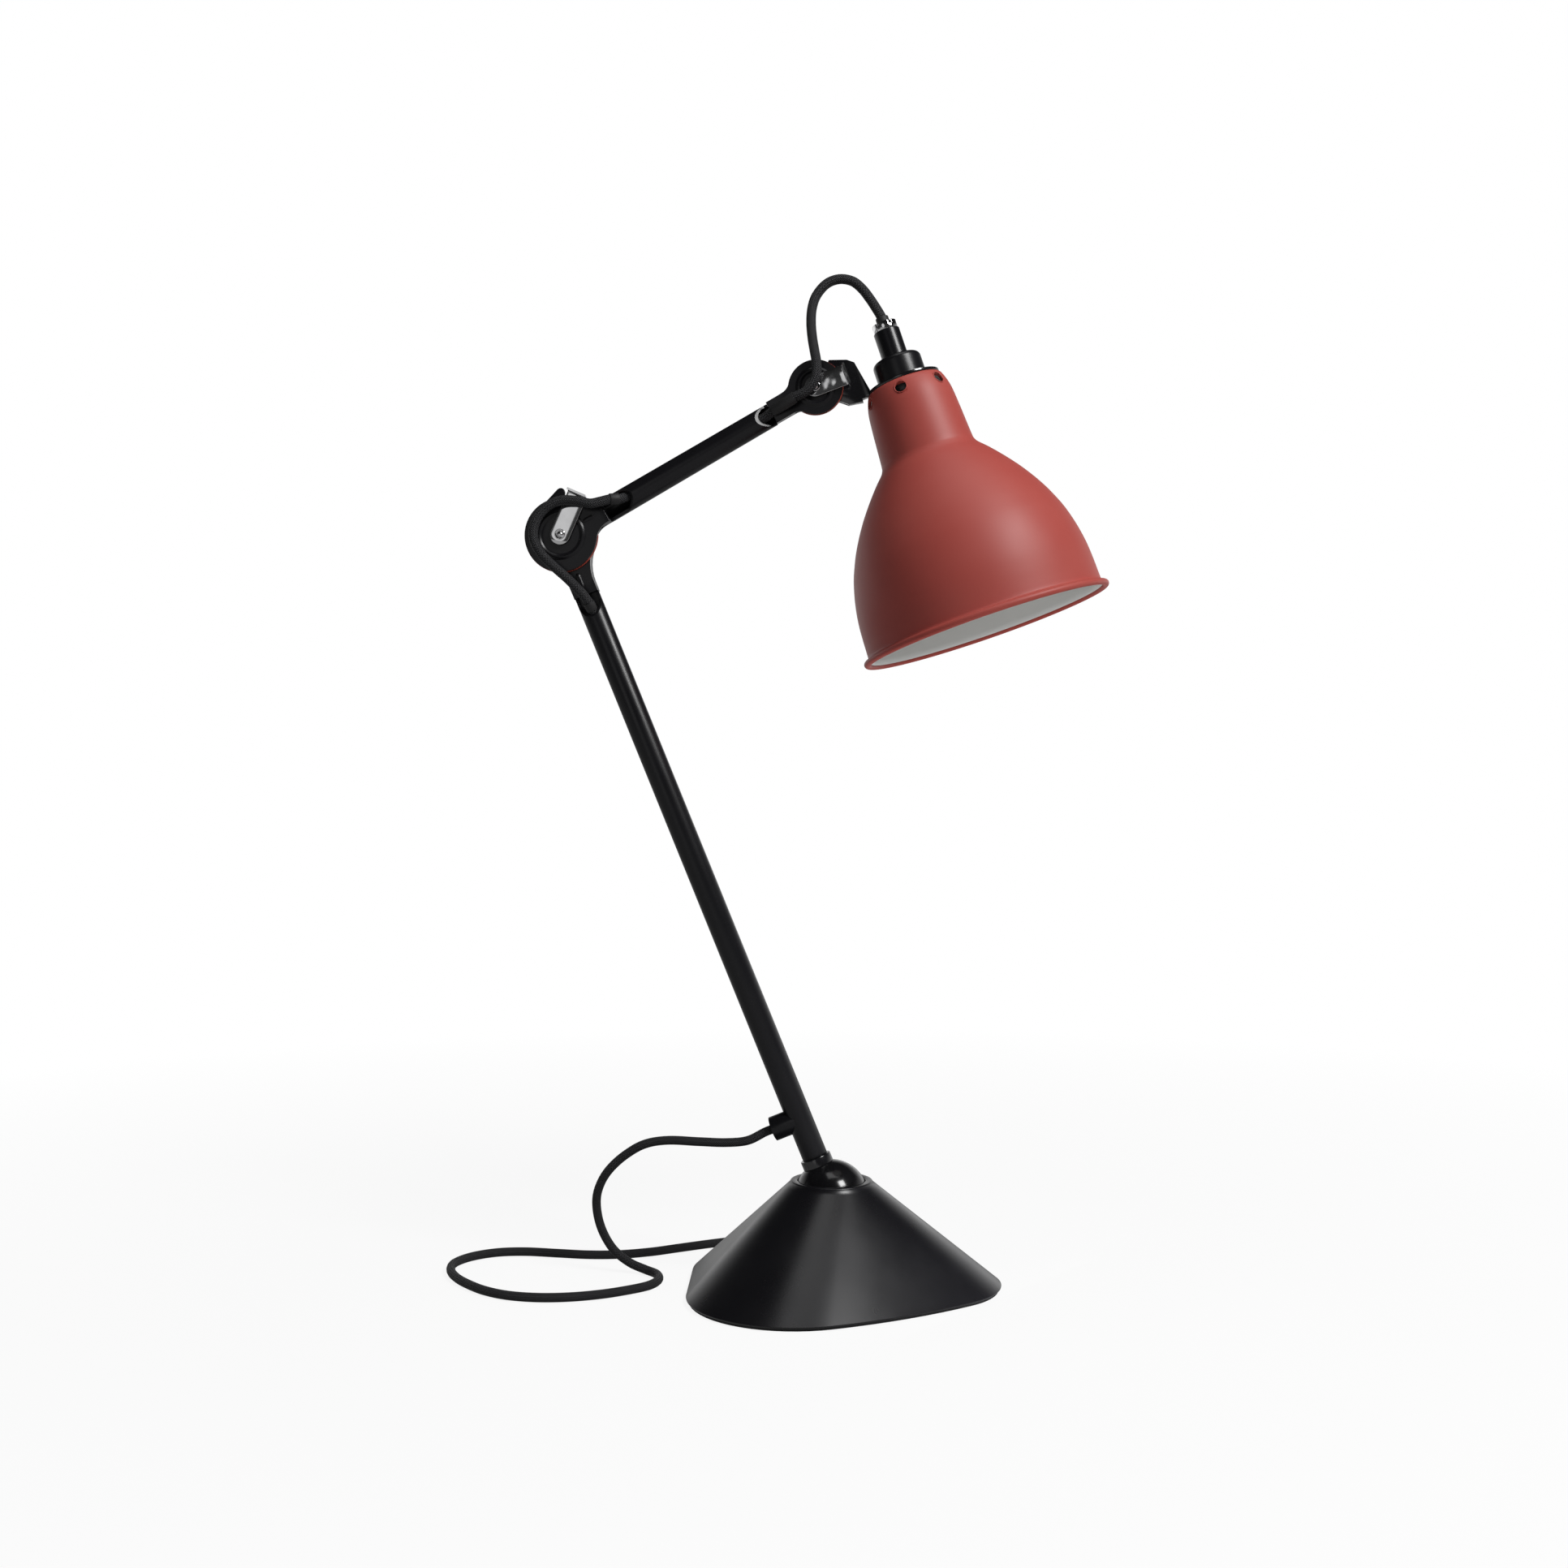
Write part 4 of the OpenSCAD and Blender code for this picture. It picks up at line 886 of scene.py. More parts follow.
def flag_lever(name, reach, y0, matrix):
    """Lever of bent sheet: a round eye, a flat blade and an end turned towards the front."""
    t, r, bend = LEVER_T / 2, LEVER_EDGE, LEVER_BEND_R
    flat_end = reach - t - bend
    path = [(-LEVER_W / 2 * cos(pi / 2 * i / 12), 0.0, 0.0) for i in range(13)]
    path += [(flat_end * i / 6, 0.0, 0.0) for i in range(1, 7)]
    for a in [pi / 2 * i / 8 for i in range(1, 9)]:
        path.append((flat_end + bend * sin(a), bend - bend * cos(a), a))
    path += [(reach - t, bend + LIP_LEN * i / 4, pi / 2) for i in range(1, 5)]
    sections = []
    for along, depth, a in path:
        half = LEVER_W / 2
        if along < 0:
            half = max(0.25, sqrt(max(0.0, half * half - along * along)))
        left = LIP_REACH - depth
        if a > 1.5 and left < LIP_CORNER_R:
            half -= LIP_CORNER_R - sqrt(LIP_CORNER_R ** 2 - (LIP_CORNER_R - left) ** 2)
        ring = []
        for sx, sn, start in ((1, 1, 0), (-1, 1, 90), (-1, -1, 180), (1, -1, 270)):
            for k in range(4):
                b = radians(start + 30 * k)
                across, thick = sx * (half - r) + r * cos(b), sn * (t - r) + r * sin(b)
                ring.append(Vector((along + thick * sin(a), -depth - y0 - t + thick * cos(a), across)))
        sections.append(ring)
    bm = bmesh.new()
    add_sections(bm, sections)
    return finish_mesh(name, bm, matrix, sharp=60)


class LAMP_OT_levers(bpy.types.Operator):
    """Builds the two chromed clamp levers"""
    bl_idname = "lamp.levers"
    bl_label = "Clamp levers"

    def execute(self, context):
        turn = AT_ELBOW @ spin_y(ELBOW_LEVER_TURN)
        elbow = flag_lever("elbow_clamp_lever", ELBOW_LEVER_LEN, ELBOW_FACE + LEVER_GAP, turn)
        dress(elbow, "elbow_clamp", "chrome", "elbow_lever")
        turn = AT_HEAD @ spin_y(HEAD_LEVER_TURN)
        head = flag_lever("head_clamp_lever", HEAD_LEVER_LEN, HEAD_FACE + LEVER_GAP, turn)
        dress(head, "head_clamp", "chrome", "head_lever", finish=["wavy_chrome"])
        return {"FINISHED"}


class LAMP_OT_head_joint(bpy.types.Operator):
    """Builds the upper arm's stamped discs at the head"""
    bl_idname = "lamp.head_joint"
    bl_label = "Head joint"

    def execute(self, context):
        edge = context.scene.lamp_sizes.stamp_round / MM
        bm = bmesh.new()
        add_fork(
            bm, HEAD_R, HEAD_REAR_R, HEAD_CHEEK_Y, HEAD_CHEEK_T, UPPER_R2, UPPER_NECK, HEAD_RING_R,
            HEAD_FLARE, edge)
        add_rib(bm, -HEAD_FACE + RIB_SUNK, -HEAD_R - 1, -HEAD_RING_R - 2)
        fork = finish_mesh("head_cheeks", bm, UPPER @ Matrix.Translation((0, 0, UPPER_LEN * MM)))
        dress(fork, "upper_arm", "black_enamel", "head_fork")
        return {"FINISHED"}


def clamp_bolt(name, matrix, face, shank, dome, rear):
    """Domed bolt on the lever's face, ringed with black painted shade, with its shank through to the nut."""
    turn = Matrix.Translation((0, -face, 0)) @ Matrix.Rotation(radians(90), 4, "X")
    high = DOME_SHARE * dome
    big = (dome * dome + high * high) / (2 * high)
    reach = atan2(dome, big - high)
    angles = [reach * (1 - i / 10) for i in range(11)]
    end = -face - rear
    bolt = [(0, end), (shank - BOLT_CHAMFER, end), (shank, end + BOLT_CHAMFER)]
    bolt += [(shank, -BOLT_SUNK), (dome, -BOLT_SUNK)]
    bolt += [(big * sin(a), big * cos(a) - big + high + DOME_UP) for a in angles]
    bm = bmesh.new()
    add_lathe(bm, bolt, 48, turn)
    # Black ring round the dome: painted shade standing in for the shadow in the recess
    painted_shade_ring = [(dome + DARK_RING_GAP, -BOLT_SUNK), (dome + DARK_RING_GAP, 0.3)]
    painted_shade_ring += arc((dome + DARK_RING_MID, 0.25), DARK_RING_EDGE, 140, 0, 6)
    painted_shade_ring += [(dome + DARK_RING_MID + DARK_RING_EDGE, -BOLT_SUNK)]
    add_lathe(bm, painted_shade_ring, 48, turn, material=1)
    return finish_mesh(name, bm, matrix)


class LAMP_OT_bolts(bpy.types.Operator):
    """Builds the domed bolts of the two clamps"""
    bl_idname = "lamp.bolts"
    bl_label = "Clamp bolts"

    def execute(self, context):
        above = LEVER_GAP + LEVER_T
        elbow = clamp_bolt(
            "elbow_clamp_bolt", AT_ELBOW, ELBOW_FACE + above, ELBOW_BOLT_R, ELBOW_DOME_R,
            ELBOW_FACE + ELBOW_NUT_REACH)
        dress(elbow, "elbow_clamp", "chrome", "elbow_bolt", finish=["chrome", "black_enamel"])
        head = clamp_bolt(
            "head_clamp_bolt", AT_HEAD, HEAD_FACE + above, HEAD_BOLT_R, HEAD_DOME_R,
            HEAD_FACE + HEAD_NUT_REACH)
        dress(head, "head_clamp", "chrome", "head_bolt", finish=["chrome", "black_enamel"])
        return {"FINISHED"}


class LAMP_OT_edges(bpy.types.Operator):
    """Rounds the edges of the small turned and stamped pieces"""
    bl_idname = "lamp.edges"
    bl_label = "Softened edges"

    def execute(self, context):
        for node_name, width in SOFT_EDGES:
            soften(node_name, width, GLOSSY.get(node_name))
        return {"FINISHED"}


class LAMP_OT_lampholder(bpy.types.Operator):
    """Builds the lampholder's cap with its spout, on which the castellated nut sits"""
    bl_idname = "lamp.lampholder"
    bl_label = "Lampholder"

    def execute(self, context):
        shoulder, fillet, lip, chamfer = 3, 1.0, 0.6, 0.3
        profile = [(0, CAP_LOW), (CAP_R - chamfer, CAP_LOW), (CAP_R, CAP_LOW + chamfer)]
        profile += arc((CAP_R - shoulder, SPOUT_LOW - shoulder), shoulder, 0, 90, 10)
        profile += [(SPOUT_R + fillet, SPOUT_LOW)]
        profile += arc((SPOUT_R + fillet, SPOUT_LOW + fillet), fillet, 270, 180, 5)[1:]
        profile += [(SPOUT_R, NUT_Z - lip)]
        profile += arc((SPOUT_R - lip, NUT_Z - lip), lip, 0, 90, 5)[1:] + [(0, NUT_Z)]
        bm = bmesh.new()
        add_lathe(bm, profile)
        cap = finish_mesh("lampholder_cap", bm, SHADE)
        dress(cap, "head", "black_enamel", "holder_cap")
        return {"FINISHED"}


# Outside of the shade above its bead, (radius, height above the mouth)
SHADE_PROFILE = (
    (66.6, 5.2), (66.4, 11), (66.2, 17), (65.65, 24.9), (64.5, 32.9), (62.75, 40.9), (60.2, 49.4),
    (56.6, 58), (54.35, 62.6), (51.7, 67.4), (48.75, 72.2), (45.5, 77.1), (41.8, 82.1), (37.5, 87.5),
    (32.7, 93.1), (29.5, 96.4), (27.6, 98.6), (26.6, 100.6), (26.2, 103.2), (25.7, 110.4), (25.2, 118.3),
    (24.7, 125), (24.4, 128.6), (24.1, 131.2), (23.6, 134), (22.9, 136.6), (22.0, 139.2), (21.3, 140.8),
    (20.4, 141.7), (19.2, 142.0),
)


def vent_turns(count):
    """Frames on the shade's axis, each with z pointing out through one vent."""
    up = Matrix.Translation((0, 0, SHADE_H - VENT_DROP))
    return [Matrix.Rotation(radians(VENT_TURN + 360 * i / count), 4, "Z") @ up
            @ Matrix.Rotation(radians(90 - VENT_LEAN), 4, "Y") for i in range(count)]


def vent_edges(outside, radius, turns):
    """Fine rolled edge round each vent, bent to the neck's curve."""
    lean = radians(VENT_LEAN)
    reach = NECK_R
    for _ in range(8):
        height = SHADE_H - VENT_DROP + reach * sin(lean)
        low, high = next((a, b) for a, b in zip(outside, outside[1:]) if a[1] <= height <= b[1])
        share = (height - low[1]) / (high[1] - low[1])
        reach = (low[0] + (high[0] - low[0]) * share) / cos(lean)
    bm = bmesh.new()
    for turn in turns:
        sections = []
        for k in range(40):
            a = 2 * pi * k / 40
            out = Vector((cos(a), sin(a), 0))
            middle = radius * out + Vector((0, 0, reach - (radius * sin(a)) ** 2 / (2 * reach)))
            ring = []
            for b in [2 * pi * j / 8 for j in range(8)]:
                ring.append(turn @ (middle + VENT_EDGE_R * (cos(b) * out + Vector((0, 0, sin(b))))))
            sections.append(ring)
        add_sections(bm, sections, loop=True)
    return finish_mesh("vent_edges", bm, MOUTH)


class LAMP_OT_shade(bpy.types.Operator):
    """Spins the bell shade with its rolled bead, and drills its vents"""
    bl_idname = "lamp.shade"
    bl_label = "Shade"

    def execute(self, context):
        sizes = context.scene.lamp_sizes
        bead = sizes.bead / MM
        outside = [(p.x, p.z) for p in smooth_path([(r, 0, z) for r, z in SHADE_PROFILE], 1.6)]
        inside = []
        for r, z in outside[:-3]:
            down = SHADE_WALL if z > NECK_Z else SHADE_WALL * (z / NECK_Z) ** 2
            inside.append((r - SHADE_WALL, z - down))
        hole = [(SHADE_HOLE, SHADE_H), (SHADE_HOLE, SHADE_H - SHADE_WALL)]
        roll = arc((SHADE_R - bead, bead), bead, -200, 95, 26)
        bm = bmesh.new()
        add_lathe(bm, roll + [WALL_FOOT] + outside + hole, 160)
        add_lathe(bm, hole[1:] + inside[::-1] + WALL_FOOT_IN + roll[:1], 160, material=1)
        bmesh.ops.remove_doubles(bm, verts=bm.verts, dist=0.001)
        shell = finish_mesh("shade_shell", bm, MOUTH, sharp=60)
        drills = bmesh.new()
        radius = sizes.vent_radius / MM
        turns = vent_turns(sizes.vent_count)
        drill = [(0, DRILL_FROM), (radius, DRILL_FROM), (radius, DRILL_TO), (0, DRILL_TO)]
        for turn in turns:
            add_lathe(drills, drill, 32, turn)
        cutter = finish_mesh("vent_drills", drills, MOUTH)
        cut = shell.modifiers.new("vents", "BOOLEAN")
        cut.object = cutter
        cut.solver = "EXACT"
        bpy.context.view_layer.update()
        evaluated = shell.evaluated_get(bpy.context.evaluated_depsgraph_get())
        drilled = bpy.data.meshes.new_from_object(evaluated)
        shell.modifiers.clear()
        shell.data = drilled
        bpy.data.objects.remove(cutter)
        index = [0] * len(drilled.polygons)
        drilled.polygons.foreach_get("material_index", index)
        dress(shell, "head", "red_enamel", "shade", finish=["red_enamel", "white_enamel"])
        drilled.polygons.foreach_set("material_index", [min(i, 1) for i in index])
        dress(vent_edges(outside, radius, turns), "head", "red_enamel")
        return {"FINISHED"}


class LAMP_OT_bulb(bpy.types.Operator):
    """Builds the opal bulb"""
    bl_idname = "lamp.bulb"
    bl_label = "Bulb"

    def execute(self, context):
        centre = -SKIRT_DROP - BULB_NECK_LEN - BULB_R
        profile = [(BULB_NECK_R + out, -SKIRT_DROP + up) for out, up in BULB_NECK]
        profile += arc((0, centre), BULB_R, BULB_FROM, -90, 40)[:-1] + [(0, centre - BULB_R)]
        path = [(p.x, p.z) for p in smooth_path([(r, 0, z) for r, z in profile], 1.2)]
        bm = bmesh.new()
        add_lathe(bm, [(0, profile[0][1])] + path[:-1] + [profile[-1]])
        bulb = finish_mesh("opal_bulb", bm, SHADE)
        dress(bulb, "head", "opal_glass", "bulb_glass")
        return {"FINISHED"}


# Routes of the cords, millimetres from the joint that they cross
ELBOW_ROUTE = (
    (20.8, -2.8, -49.8), (19.1, -2.2, -45.8), (17.6, -4.7, -42), (16, -6.9, -38), (13.2, -9, -33.8),
    (9.6, -10.6, -29.8), (4.2, -11.6, -24.4), (-2, -11.8, -19), (-8.8, -11.8, -12.4), (-13.2, -11.8, -5.4),
    (-14.2, -11.8, 1.6), (-11.6, -11.8, 9.2), (-6, -11.8, 15.2), (1.4, -11.8, 18.2), (9.8, -11.9, 17.9),
    (17.6, -11.6, 16.3), (23, -10.2, 17.4), (28, -8, 19), (32.6, -5.4, 19.6), (37.4, -2.1, 21.5),
    (42, -2.3, 23.8),
)
HEAD_ROUTE = (
    (-31.4, -2.4, -17.6), (-27.6, -3.6, -15.6), (-23.4, -5.6, -13), (-17.1, -7.8, -9.8), (-10.8, -10, -6.6),
    (-5.2, -11.2, -4.2), (-0.6, -11.6, 0.6), (1.2, -11.4, 6.4), (1, -10.4, 12.4), (-0.2, -8.8, 19),
    (-1.6, -6.8, 27), (-2.4, -4.8, 35.6), (-2, -2.8, 44), (0.3, -1.2, 51.4), (5.8, -0.4, 57.8),
    (12.7, 0, 60.3), (19.9, 0, 59), (25.2, 0, 54.8), (29.4, 0, 49.4), (32.8, 0, 44.2),
)
# Heights over the top of the spout at which the flex runs down into the cord grip
GRIP_HEIGHTS = (8, 3.5, -3)
# Route of the mains lead, millimetres from the origin on the table
LEAD_ROUTE = (
    (-46.7, 0, 79.6), (-59, 1, 78), (-74, 2, 78), (-92, 4, 78), (-105.3, 5, 75.5), (-116.3, 7, 69.2),
    (-125.4, 8.5, 61.2), (-131.4, 10, 52.6), (-134.6, 12, 42.6), (-134, 14, 31), (-130.6, 15.5, 20.6),
    (-124.7, 16, 11.9), (-116, 15.6, 5.6), (-106.6, 13, 2.7), (-98.8, 5, 2.5), (-95.8, -6, 2.5),
    (-98.8, -17.4, 2.5), (-107.6, -27, 2.5), (-121, -37, 2.5), (-137, -44.2, 2.5), (-154, -47, 2.5),
    (-170.6, -44.8, 2.5), (-185, -37.6, 2.5), (-197, -27.2, 2.5), (-208, -14.4, 2.5), (-216, 0.5, 2.5),
    (-218.5, 16, 2.5), (-212.5, 31, 2.5), (-200, 41.5, 2.5), (-184, 45, 2.5), (-165, 43.5, 2.5),
    (-146, 42, 2.5), (-128, 44.5, 2.5), (-111, 52, 2.5), (-96, 62.5, 2.5), (-81, 73, 2.5),
    (-65, 82.8, 2.5), (-47, 91, 2.5), (-31, 95.6, 2.5), (-18, 97, 2.5),
)
# How far the lead stands straight out of the boss
LEAD_STUB = 5

# Plug, whose ribbed relief widens from rib to rib. Its body swells from the neck to the full size at
# (distance along, share), and each rib is drawn as (out, along)
PLUG_AT = (-6, 124.5, 17.3)
RELIEF_LEN = 21.0
PLUG_W = 26.0
PLUG_T = 13.0
PLUG_NECK_W = 5.6
PLUG_NECK_T = 5.2
PLUG_SWELL = (
    (0, 0.0), (0.4, 0.18), (1.4, 0.34), (3.4, 0.6), (6.4, 0.88), (9, 1.0), (31.6, 1.0), (32.6, 0.96),
    (33, 0.9),
)
RELIEF_RIBS = 7
RELIEF_PITCH = 2.9
RELIEF_R = 3.5
RELIEF_WIDENS = 0.28
RELIEF_RIB = ((-0.25, 0.0), (0.0, 0.3), (0.0, 1.6), (-0.25, 1.9), (-0.75, 2.0), (-0.75, 2.8))
LEAD_IN = 3

# Bend that lifts the lead to the plug, (degrees, height), and the coil under it, which climbs onto
# itself within half a turn
BEND_AT = (-26.5, 122.4)
BEND_R = 20.5
BEND_RISE = (
    (210, 7.95), (225, 8.8), (240, 10.3), (255, 11.7), (270, 13), (285, 13.9), (300, 14.8), (315, 15.6),
    (330, 16.4), (345, 17), (360, 17.3),
)
COIL_AT = (-13.0, 136.0)
COIL_R = 39.0
COIL_TURNS = 35 / 6
COIL_PITCH = 5.45
COIL_LOW = 2.5
COIL_STEP = 0.5


def coil_points():
    """The coil, which spirals in on the table and out again on top of itself."""
    per_turn = 24
    points = []
    for i in range(round(COIL_TURNS * per_turn) + 1):
        t = i / per_turn
        radius = COIL_R - COIL_PITCH * min(t, COIL_TURNS - t)
        rise = min(max((t - COIL_TURNS / 2 + COIL_STEP / 2) / COIL_STEP, 0.0), 1.0)
        a = 2 * pi * t - pi / 2
        x, y = COIL_AT[0] + radius * cos(a), COIL_AT[1] + radius * sin(a)
        points.append((x, y, COIL_LOW + COIL_PITCH * rise))
    return points


def tail_points():
    """The bend that lifts the lead from the coil's top to the plug."""
    points = []
    for turn, z in BEND_RISE:
        a = radians(turn)
        points.append((BEND_AT[0] + BEND_R * cos(a), BEND_AT[1] + BEND_R * sin(a), z))
    return points + [(PLUG_AT[0], PLUG_AT[1] + LEAD_IN, PLUG_AT[2])]


def cord_piece(name, path, diameter, sides=20):
    """Round cord along a path in millimetres, its diameter in metres."""
    bm = bmesh.new()
    add_tube(bm, path, diameter / 2 / MM, sides)
    return finish_mesh(name, bm, sharp=60)


class LAMP_OT_flexes(bpy.types.Operator):
    """Builds the braided flex round the elbow and over the head"""
    bl_idname = "lamp.flexes"
    bl_label = "Joint flexes"

    def execute(self, context):
        diameter = context.scene.lamp_sizes.flex_diameter
        elbow_path = smooth_path([ELBOW / MM + Vector(p) for p in ELBOW_ROUTE])
        elbow = cord_piece("elbow_braid", elbow_path, diameter)
        dress(elbow, None, "braid", "elbow_flex")
        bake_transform(elbow)
        grip = [SHADE @ (Vector((0, 0, NUT_Z + up)) * MM) / MM for up in GRIP_HEIGHTS]
        head_path = smooth_path([HEAD / MM + Vector(p) for p in HEAD_ROUTE] + grip)
        head = cord_piece("head_braid", head_path, diameter)
        dress(head, None, "braid", "head_flex")
        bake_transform(head)
        return {"FINISHED"}


def squared(value, power):
    """Cosine or sine bent so that an ellipse turns into a rounded box."""
    return copysign(abs(value) ** power, value)


class LAMP_OT_plug(bpy.types.Operator):
    """Builds the moulded plug with its ribbed relief"""
    bl_idname = "lamp.plug"
    bl_label = "Plug"

    def execute(self, context):
        turn = Matrix.Translation(Vector(PLUG_AT) * MM) @ Matrix.Rotation(radians(-90), 4, "X")
        profile = [(2.6, 0.0), (3.0, 0.0)]
        for i in range(RELIEF_RIBS):
            radius, low = RELIEF_R + RELIEF_WIDENS * i, 0.4 + RELIEF_PITCH * i
            profile += [(radius + out, low + along) for out, along in RELIEF_RIB]
        profile += [(4.6, RELIEF_LEN + 0.8), (0, RELIEF_LEN + 0.8)]
        bm = bmesh.new()
        add_lathe(bm, profile, 48)
        angles = [2 * pi * k / 64 for k in range(64)]
        sections = []
        for along, grow in PLUG_SWELL:
            wide = PLUG_NECK_W + grow * (PLUG_W / 2 - PLUG_NECK_W)
            thick = PLUG_NECK_T + grow * (PLUG_T / 2 - PLUG_NECK_T)
            section = [(wide * squared(cos(a), 0.7), thick * squared(sin(a), 0.8)) for a in angles]
            sections.append([Vector((x, y, RELIEF_LEN + along)) for x, y in section])
        add_sections(bm, sections)
        dress(finish_mesh("plug_moulding", bm, turn), "swivel", "plug_plastic", "plug_body")
        return {"FINISHED"}


class LAMP_OT_lead(bpy.types.Operator):
    """Builds the braided mains lead with its coil"""
    bl_idname = "lamp.lead"
    bl_label = "Mains lead"

    def execute(self, context):
        diameter = context.scene.lamp_sizes.lead_diameter
        boss = LOWER @ (Vector((-BOSS_REACH, 0, BOSS_UP)) * MM)
        out = LOWER.to_3x3() @ Vector((-1, 0, 0))
        start = [boss / MM, boss / MM + LEAD_STUB * out]
        path = smooth_path(start + list(LEAD_ROUTE) + coil_points() + tail_points()[1:])
        lead = cord_piece("mains_lead", path, diameter, 16)
        dress(lead, None, "braid", "lead_run", "lead_coil", "lead_tail")
        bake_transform(lead)
        return {"FINISHED"}


def area_light(target, name, at, size, size_y, power):
    """White rectangular lamp that looks at a target, in metres and watts."""
    light = bpy.data.lights.new(name, "AREA")
    light.shape = "RECTANGLE"
    light.size = size
    light.size_y = size_y
    light.energy = power
    obj = bpy.data.objects.new(name, light)
    obj.location = at
    obj.rotation_euler = (Vector(target) - Vector(at)).to_track_quat("-Z", "Y").to_euler()
    bpy.context.scene.collection.objects.link(obj)
    return obj


def seen_rays(nodes):
    """Light path outputs, and a mask of the rays that are seen: straight, mirrored or through glass."""
    rays = nodes.add("ShaderNodeLightPath").outputs
    seen = nodes.math("MAXIMUM", rays["Is Camera Ray"], rays["Is Glossy Ray"])
    return rays, nodes.math("MAXIMUM", seen, rays["Is Transmission Ray"])


def floor_paint(backdrop):
    """Paint that glows where it is seen, less so round the foot, and is grey to all other light."""
    paint, nodes, shader = material("floor_paint", Roughness=0.9, Specular_IOR_Level=0.0)
    rays, seen = seen_rays(nodes)
    bounce, shown = colour((FLOOR_BOUNCE,) * 3), colour((FLOOR_SEEN,) * 3)
    nodes.feed(shader.inputs["Base Color"], nodes.mix(rays["Is Camera Ray"], bounce, shown))
    power = nodes.math("MAXIMUM", rays["Is Camera Ray"], FLOOR_MIRRORED)
    glow = nodes.add("ShaderNodeEmission", [("Color", backdrop), ("Strength", power)])
    place = nodes.add("ShaderNodeTexCoord").outputs["Object"]
    away = nodes.add("ShaderNodeVectorMath", [(0, place)], operation="LENGTH").outputs["Value"]
    share = nodes.math("MULTIPLY", seen, nodes.span(away, *GLOW_SPREAD, FLOOR_GLOW, 1.0))
    blend = nodes.add("ShaderNodeMixShader", [(0, share), (1, shader.outputs[0]), (2, glow.outputs[0])])
    nodes.feed(paint.node_tree.nodes["Material Output"].inputs["Surface"], blend.outputs[0])
    return paint


def studio_world(backdrop):
    """World that shows the backdrop, mirrors a dark room with a pale card, and gives dim even light."""
    world = bpy.data.worlds.new("studio")
    world.use_nodes = True
    nodes = Nodes(world.node_tree)
    rays, seen = seen_rays(nodes)
    coordinates = nodes.add("ShaderNodeTexCoord").outputs["Generated"]
    way = nodes.add("ShaderNodeSeparateXYZ", [(0, coordinates)]).outputs
    low = nodes.span(way["Z"], *FADE_UP, 1.0, 0.0)
    behind = nodes.math("MULTIPLY", low, nodes.span(way["Y"], *FADE_BACK, FRONT_LIGHT, 1.0))
    aim = nodes.add("ShaderNodeVectorMath", [(0, coordinates), (1, CARD_WAY)], operation="DOT_PRODUCT")
    card = nodes.span(aim.outputs["Value"], *CARD_EDGE, 0.0, CARD_LIGHT)
    shine = nodes.math("ADD", nodes.math("MAXIMUM", behind, card), ROOM_LIGHT)
    straight = nodes.math("MAXIMUM", rays["Is Camera Ray"], rays["Is Transmission Ray"])
    power = nodes.math("MINIMUM", nodes.math("MAXIMUM", shine, straight), 1.0)
    dim = nodes.add("ShaderNodeBackground", [("Color", (1, 1, 1, 1)), ("Strength", EVEN_LIGHT)])
    white = nodes.add("ShaderNodeBackground", [("Color", backdrop), ("Strength", power)])
    blend = nodes.add("ShaderNodeMixShader", [(0, seen), (1, dim.outputs[0]), (2, white.outputs[0])])
    nodes.feed(world.node_tree.nodes["World Output"].inputs["Surface"], blend.outputs[0])
    return world


def studio_camera():
    """Level camera that sees the lamp as the photograph does."""
    lens = bpy.data.cameras.new("view")
    lens.sensor_width = SENSOR_MM
    lens.lens = SENSOR_MM * FOCAL_PX / PHOTO_PX
    lens.shift_y = SHIFT_PX / PHOTO_PX
    lens.clip_end = 50
    azimuth = radians(CAMERA_TURN)
    camera = bpy.data.objects.new("view", lens)
    camera.location = (
        CAMERA_AWAY * sin(azimuth) - CAMERA_ASIDE * cos(azimuth),
        -CAMERA_AWAY * cos(azimuth) - CAMERA_ASIDE * sin(azimuth), CAMERA_UP)
    camera.rotation_euler = (pi / 2, 0, azimuth)
    bpy.context.scene.collection.objects.link(camera)
    return camera


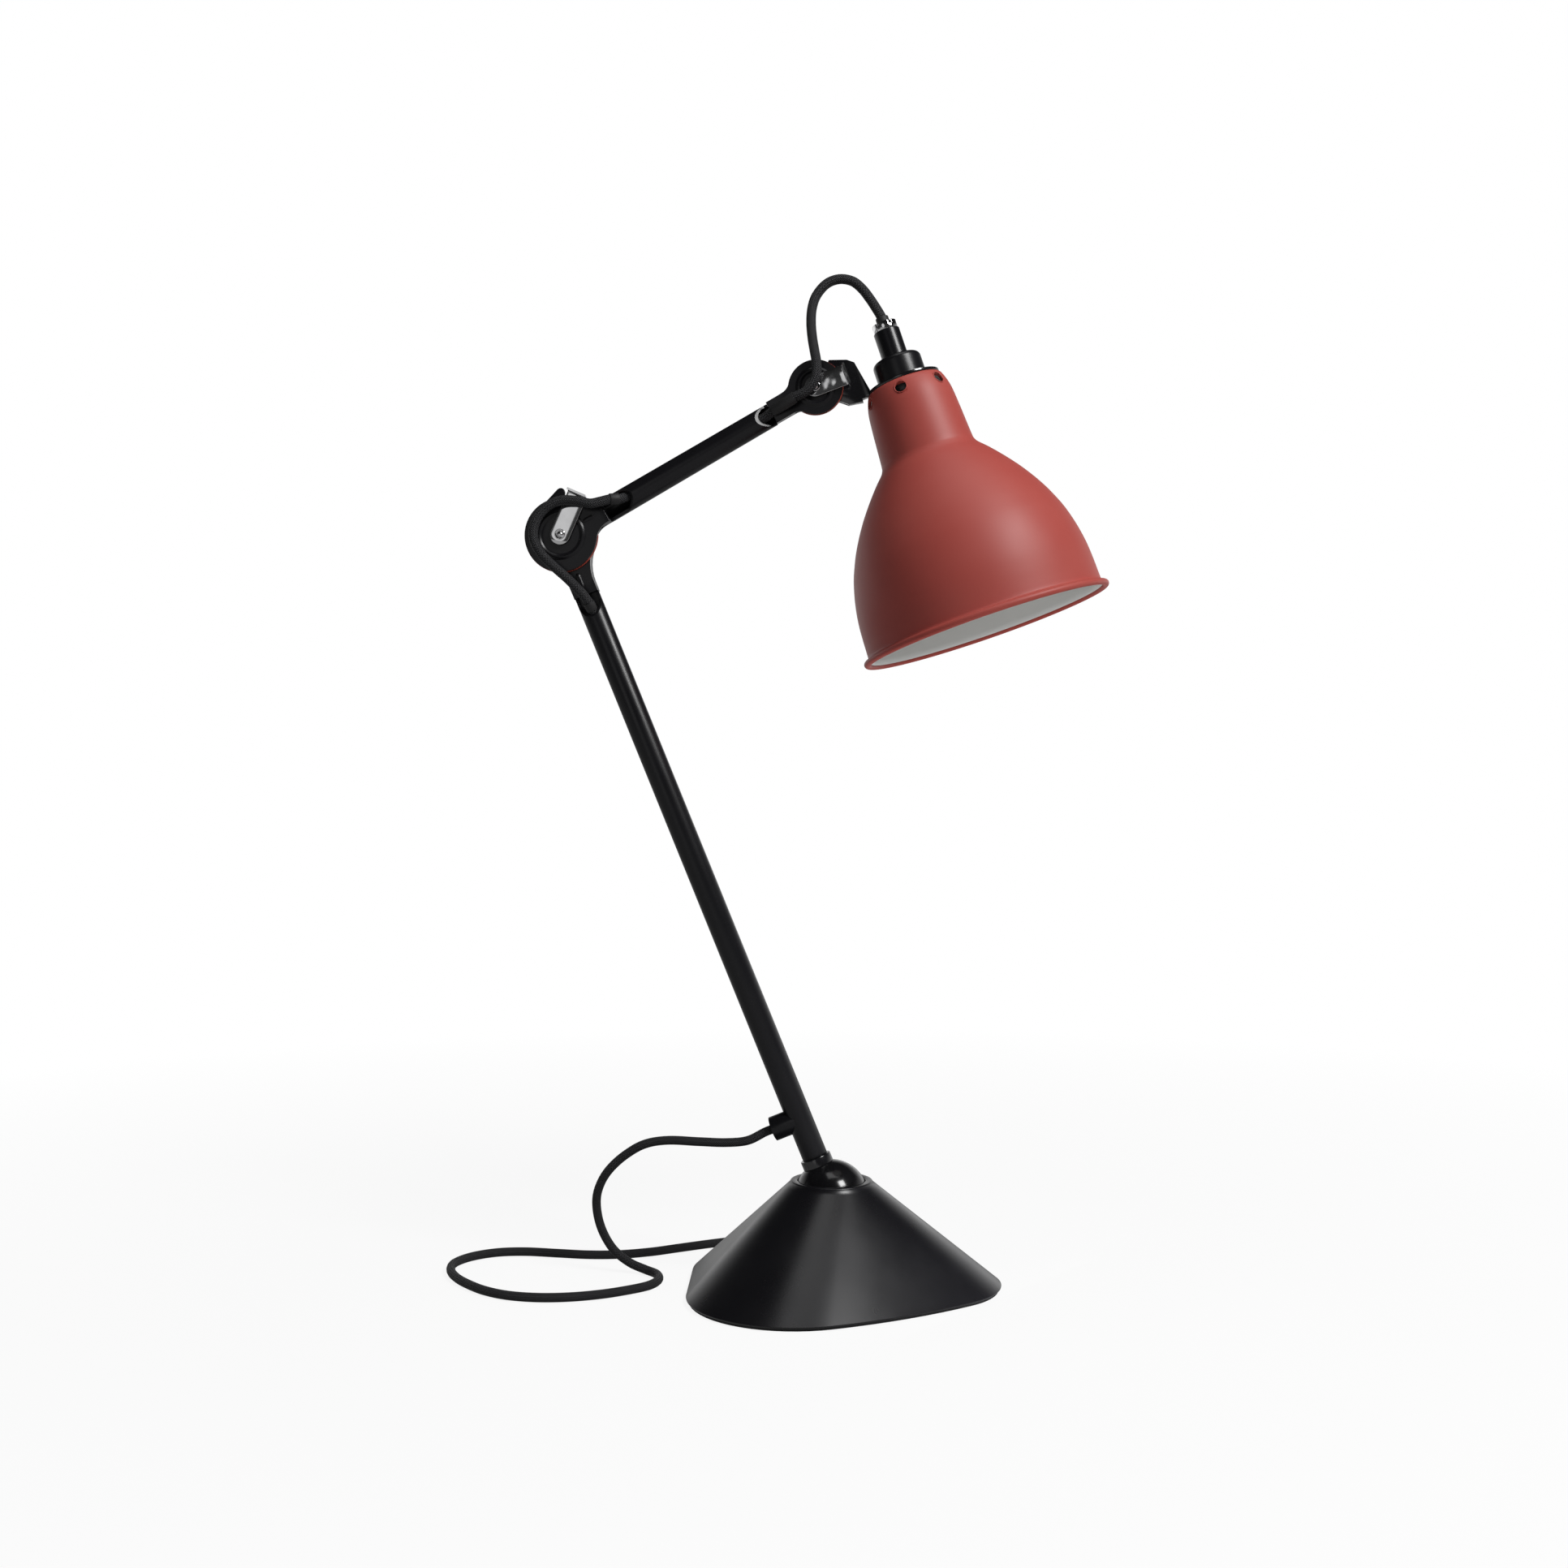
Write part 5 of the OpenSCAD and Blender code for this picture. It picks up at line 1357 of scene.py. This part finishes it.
class LAMP_OT_stage(bpy.types.Operator):
    """Sets up the pale floor, the backdrop, the studio lamps and the camera"""
    bl_idname = "lamp.stage"
    bl_label = "Studio"

    def execute(self, context):
        scene = context.scene
        scene.view_settings.view_transform = "Standard"
        backdrop = colour(tuple(scene.lamp_colours.backdrop))
        bm = bmesh.new()
        bmesh.ops.create_grid(bm, x_segments=1, y_segments=1, size=FLOOR_HALF)
        floor = finish_mesh("floor", bm)
        floor.location.z = -FLOOR_SUNK * MM
        floor.data.materials.append(floor_paint(backdrop))
        scene.world = studio_world(backdrop)

        for settings in STUDIO_LAMPS:
            area_light(LAMP_MIDDLE, *settings)
        card = area_light(MOUTH.translation, *MOUTH_CARD)
        card.visible_camera = False
        card.visible_glossy = False

        scene.camera = studio_camera()
        return {"FINISHED"}


class LAMP_OT_finishes(bpy.types.Operator):
    """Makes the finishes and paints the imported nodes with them"""
    bl_idname = "lamp.finishes"
    bl_label = "Finishes"

    def execute(self, context):
        finishes.update(make_materials(context.scene.lamp_colours))
        paint_cad_nodes()
        return {"FINISHED"}


STEPS = (
    LAMP_OT_finishes, LAMP_OT_stage, LAMP_OT_flexes, LAMP_OT_plug, LAMP_OT_lead, LAMP_OT_foot,
    LAMP_OT_lower_arm, LAMP_OT_elbow, LAMP_OT_head_joint, LAMP_OT_levers, LAMP_OT_bolts, LAMP_OT_edges,
    LAMP_OT_lampholder, LAMP_OT_shade, LAMP_OT_bulb,
)


class LAMP_PT_panel(bpy.types.Panel):
    """Buttons and values of the lamp"""
    bl_idname = "LAMP_PT_panel"
    bl_label = "Architect lamp"
    bl_space_type = "VIEW_3D"
    bl_region_type = "UI"
    bl_category = "Lamp"

    def draw(self, context):
        for step in STEPS:
            self.layout.operator(step.bl_idname)
        for values in (context.scene.lamp_sizes, context.scene.lamp_colours):
            for key in values.__annotations__:
                self.layout.prop(values, key)


CLASSES = (LampSizes, LampColours, *STEPS, LAMP_PT_panel)


def register():
    for each in CLASSES:
        bpy.utils.register_class(each)
    bpy.types.Scene.lamp_sizes = PointerProperty(type=LampSizes)
    bpy.types.Scene.lamp_colours = PointerProperty(type=LampColours)


def unregister():
    del bpy.types.Scene.lamp_colours
    del bpy.types.Scene.lamp_sizes
    for each in reversed(CLASSES):
        bpy.utils.unregister_class(each)


def main():
    register()
    for step in STEPS:
        group_name, action = step.bl_idname.split(".")
        getattr(getattr(bpy.ops, group_name), action)()


if __name__ == "__main__":
    main()
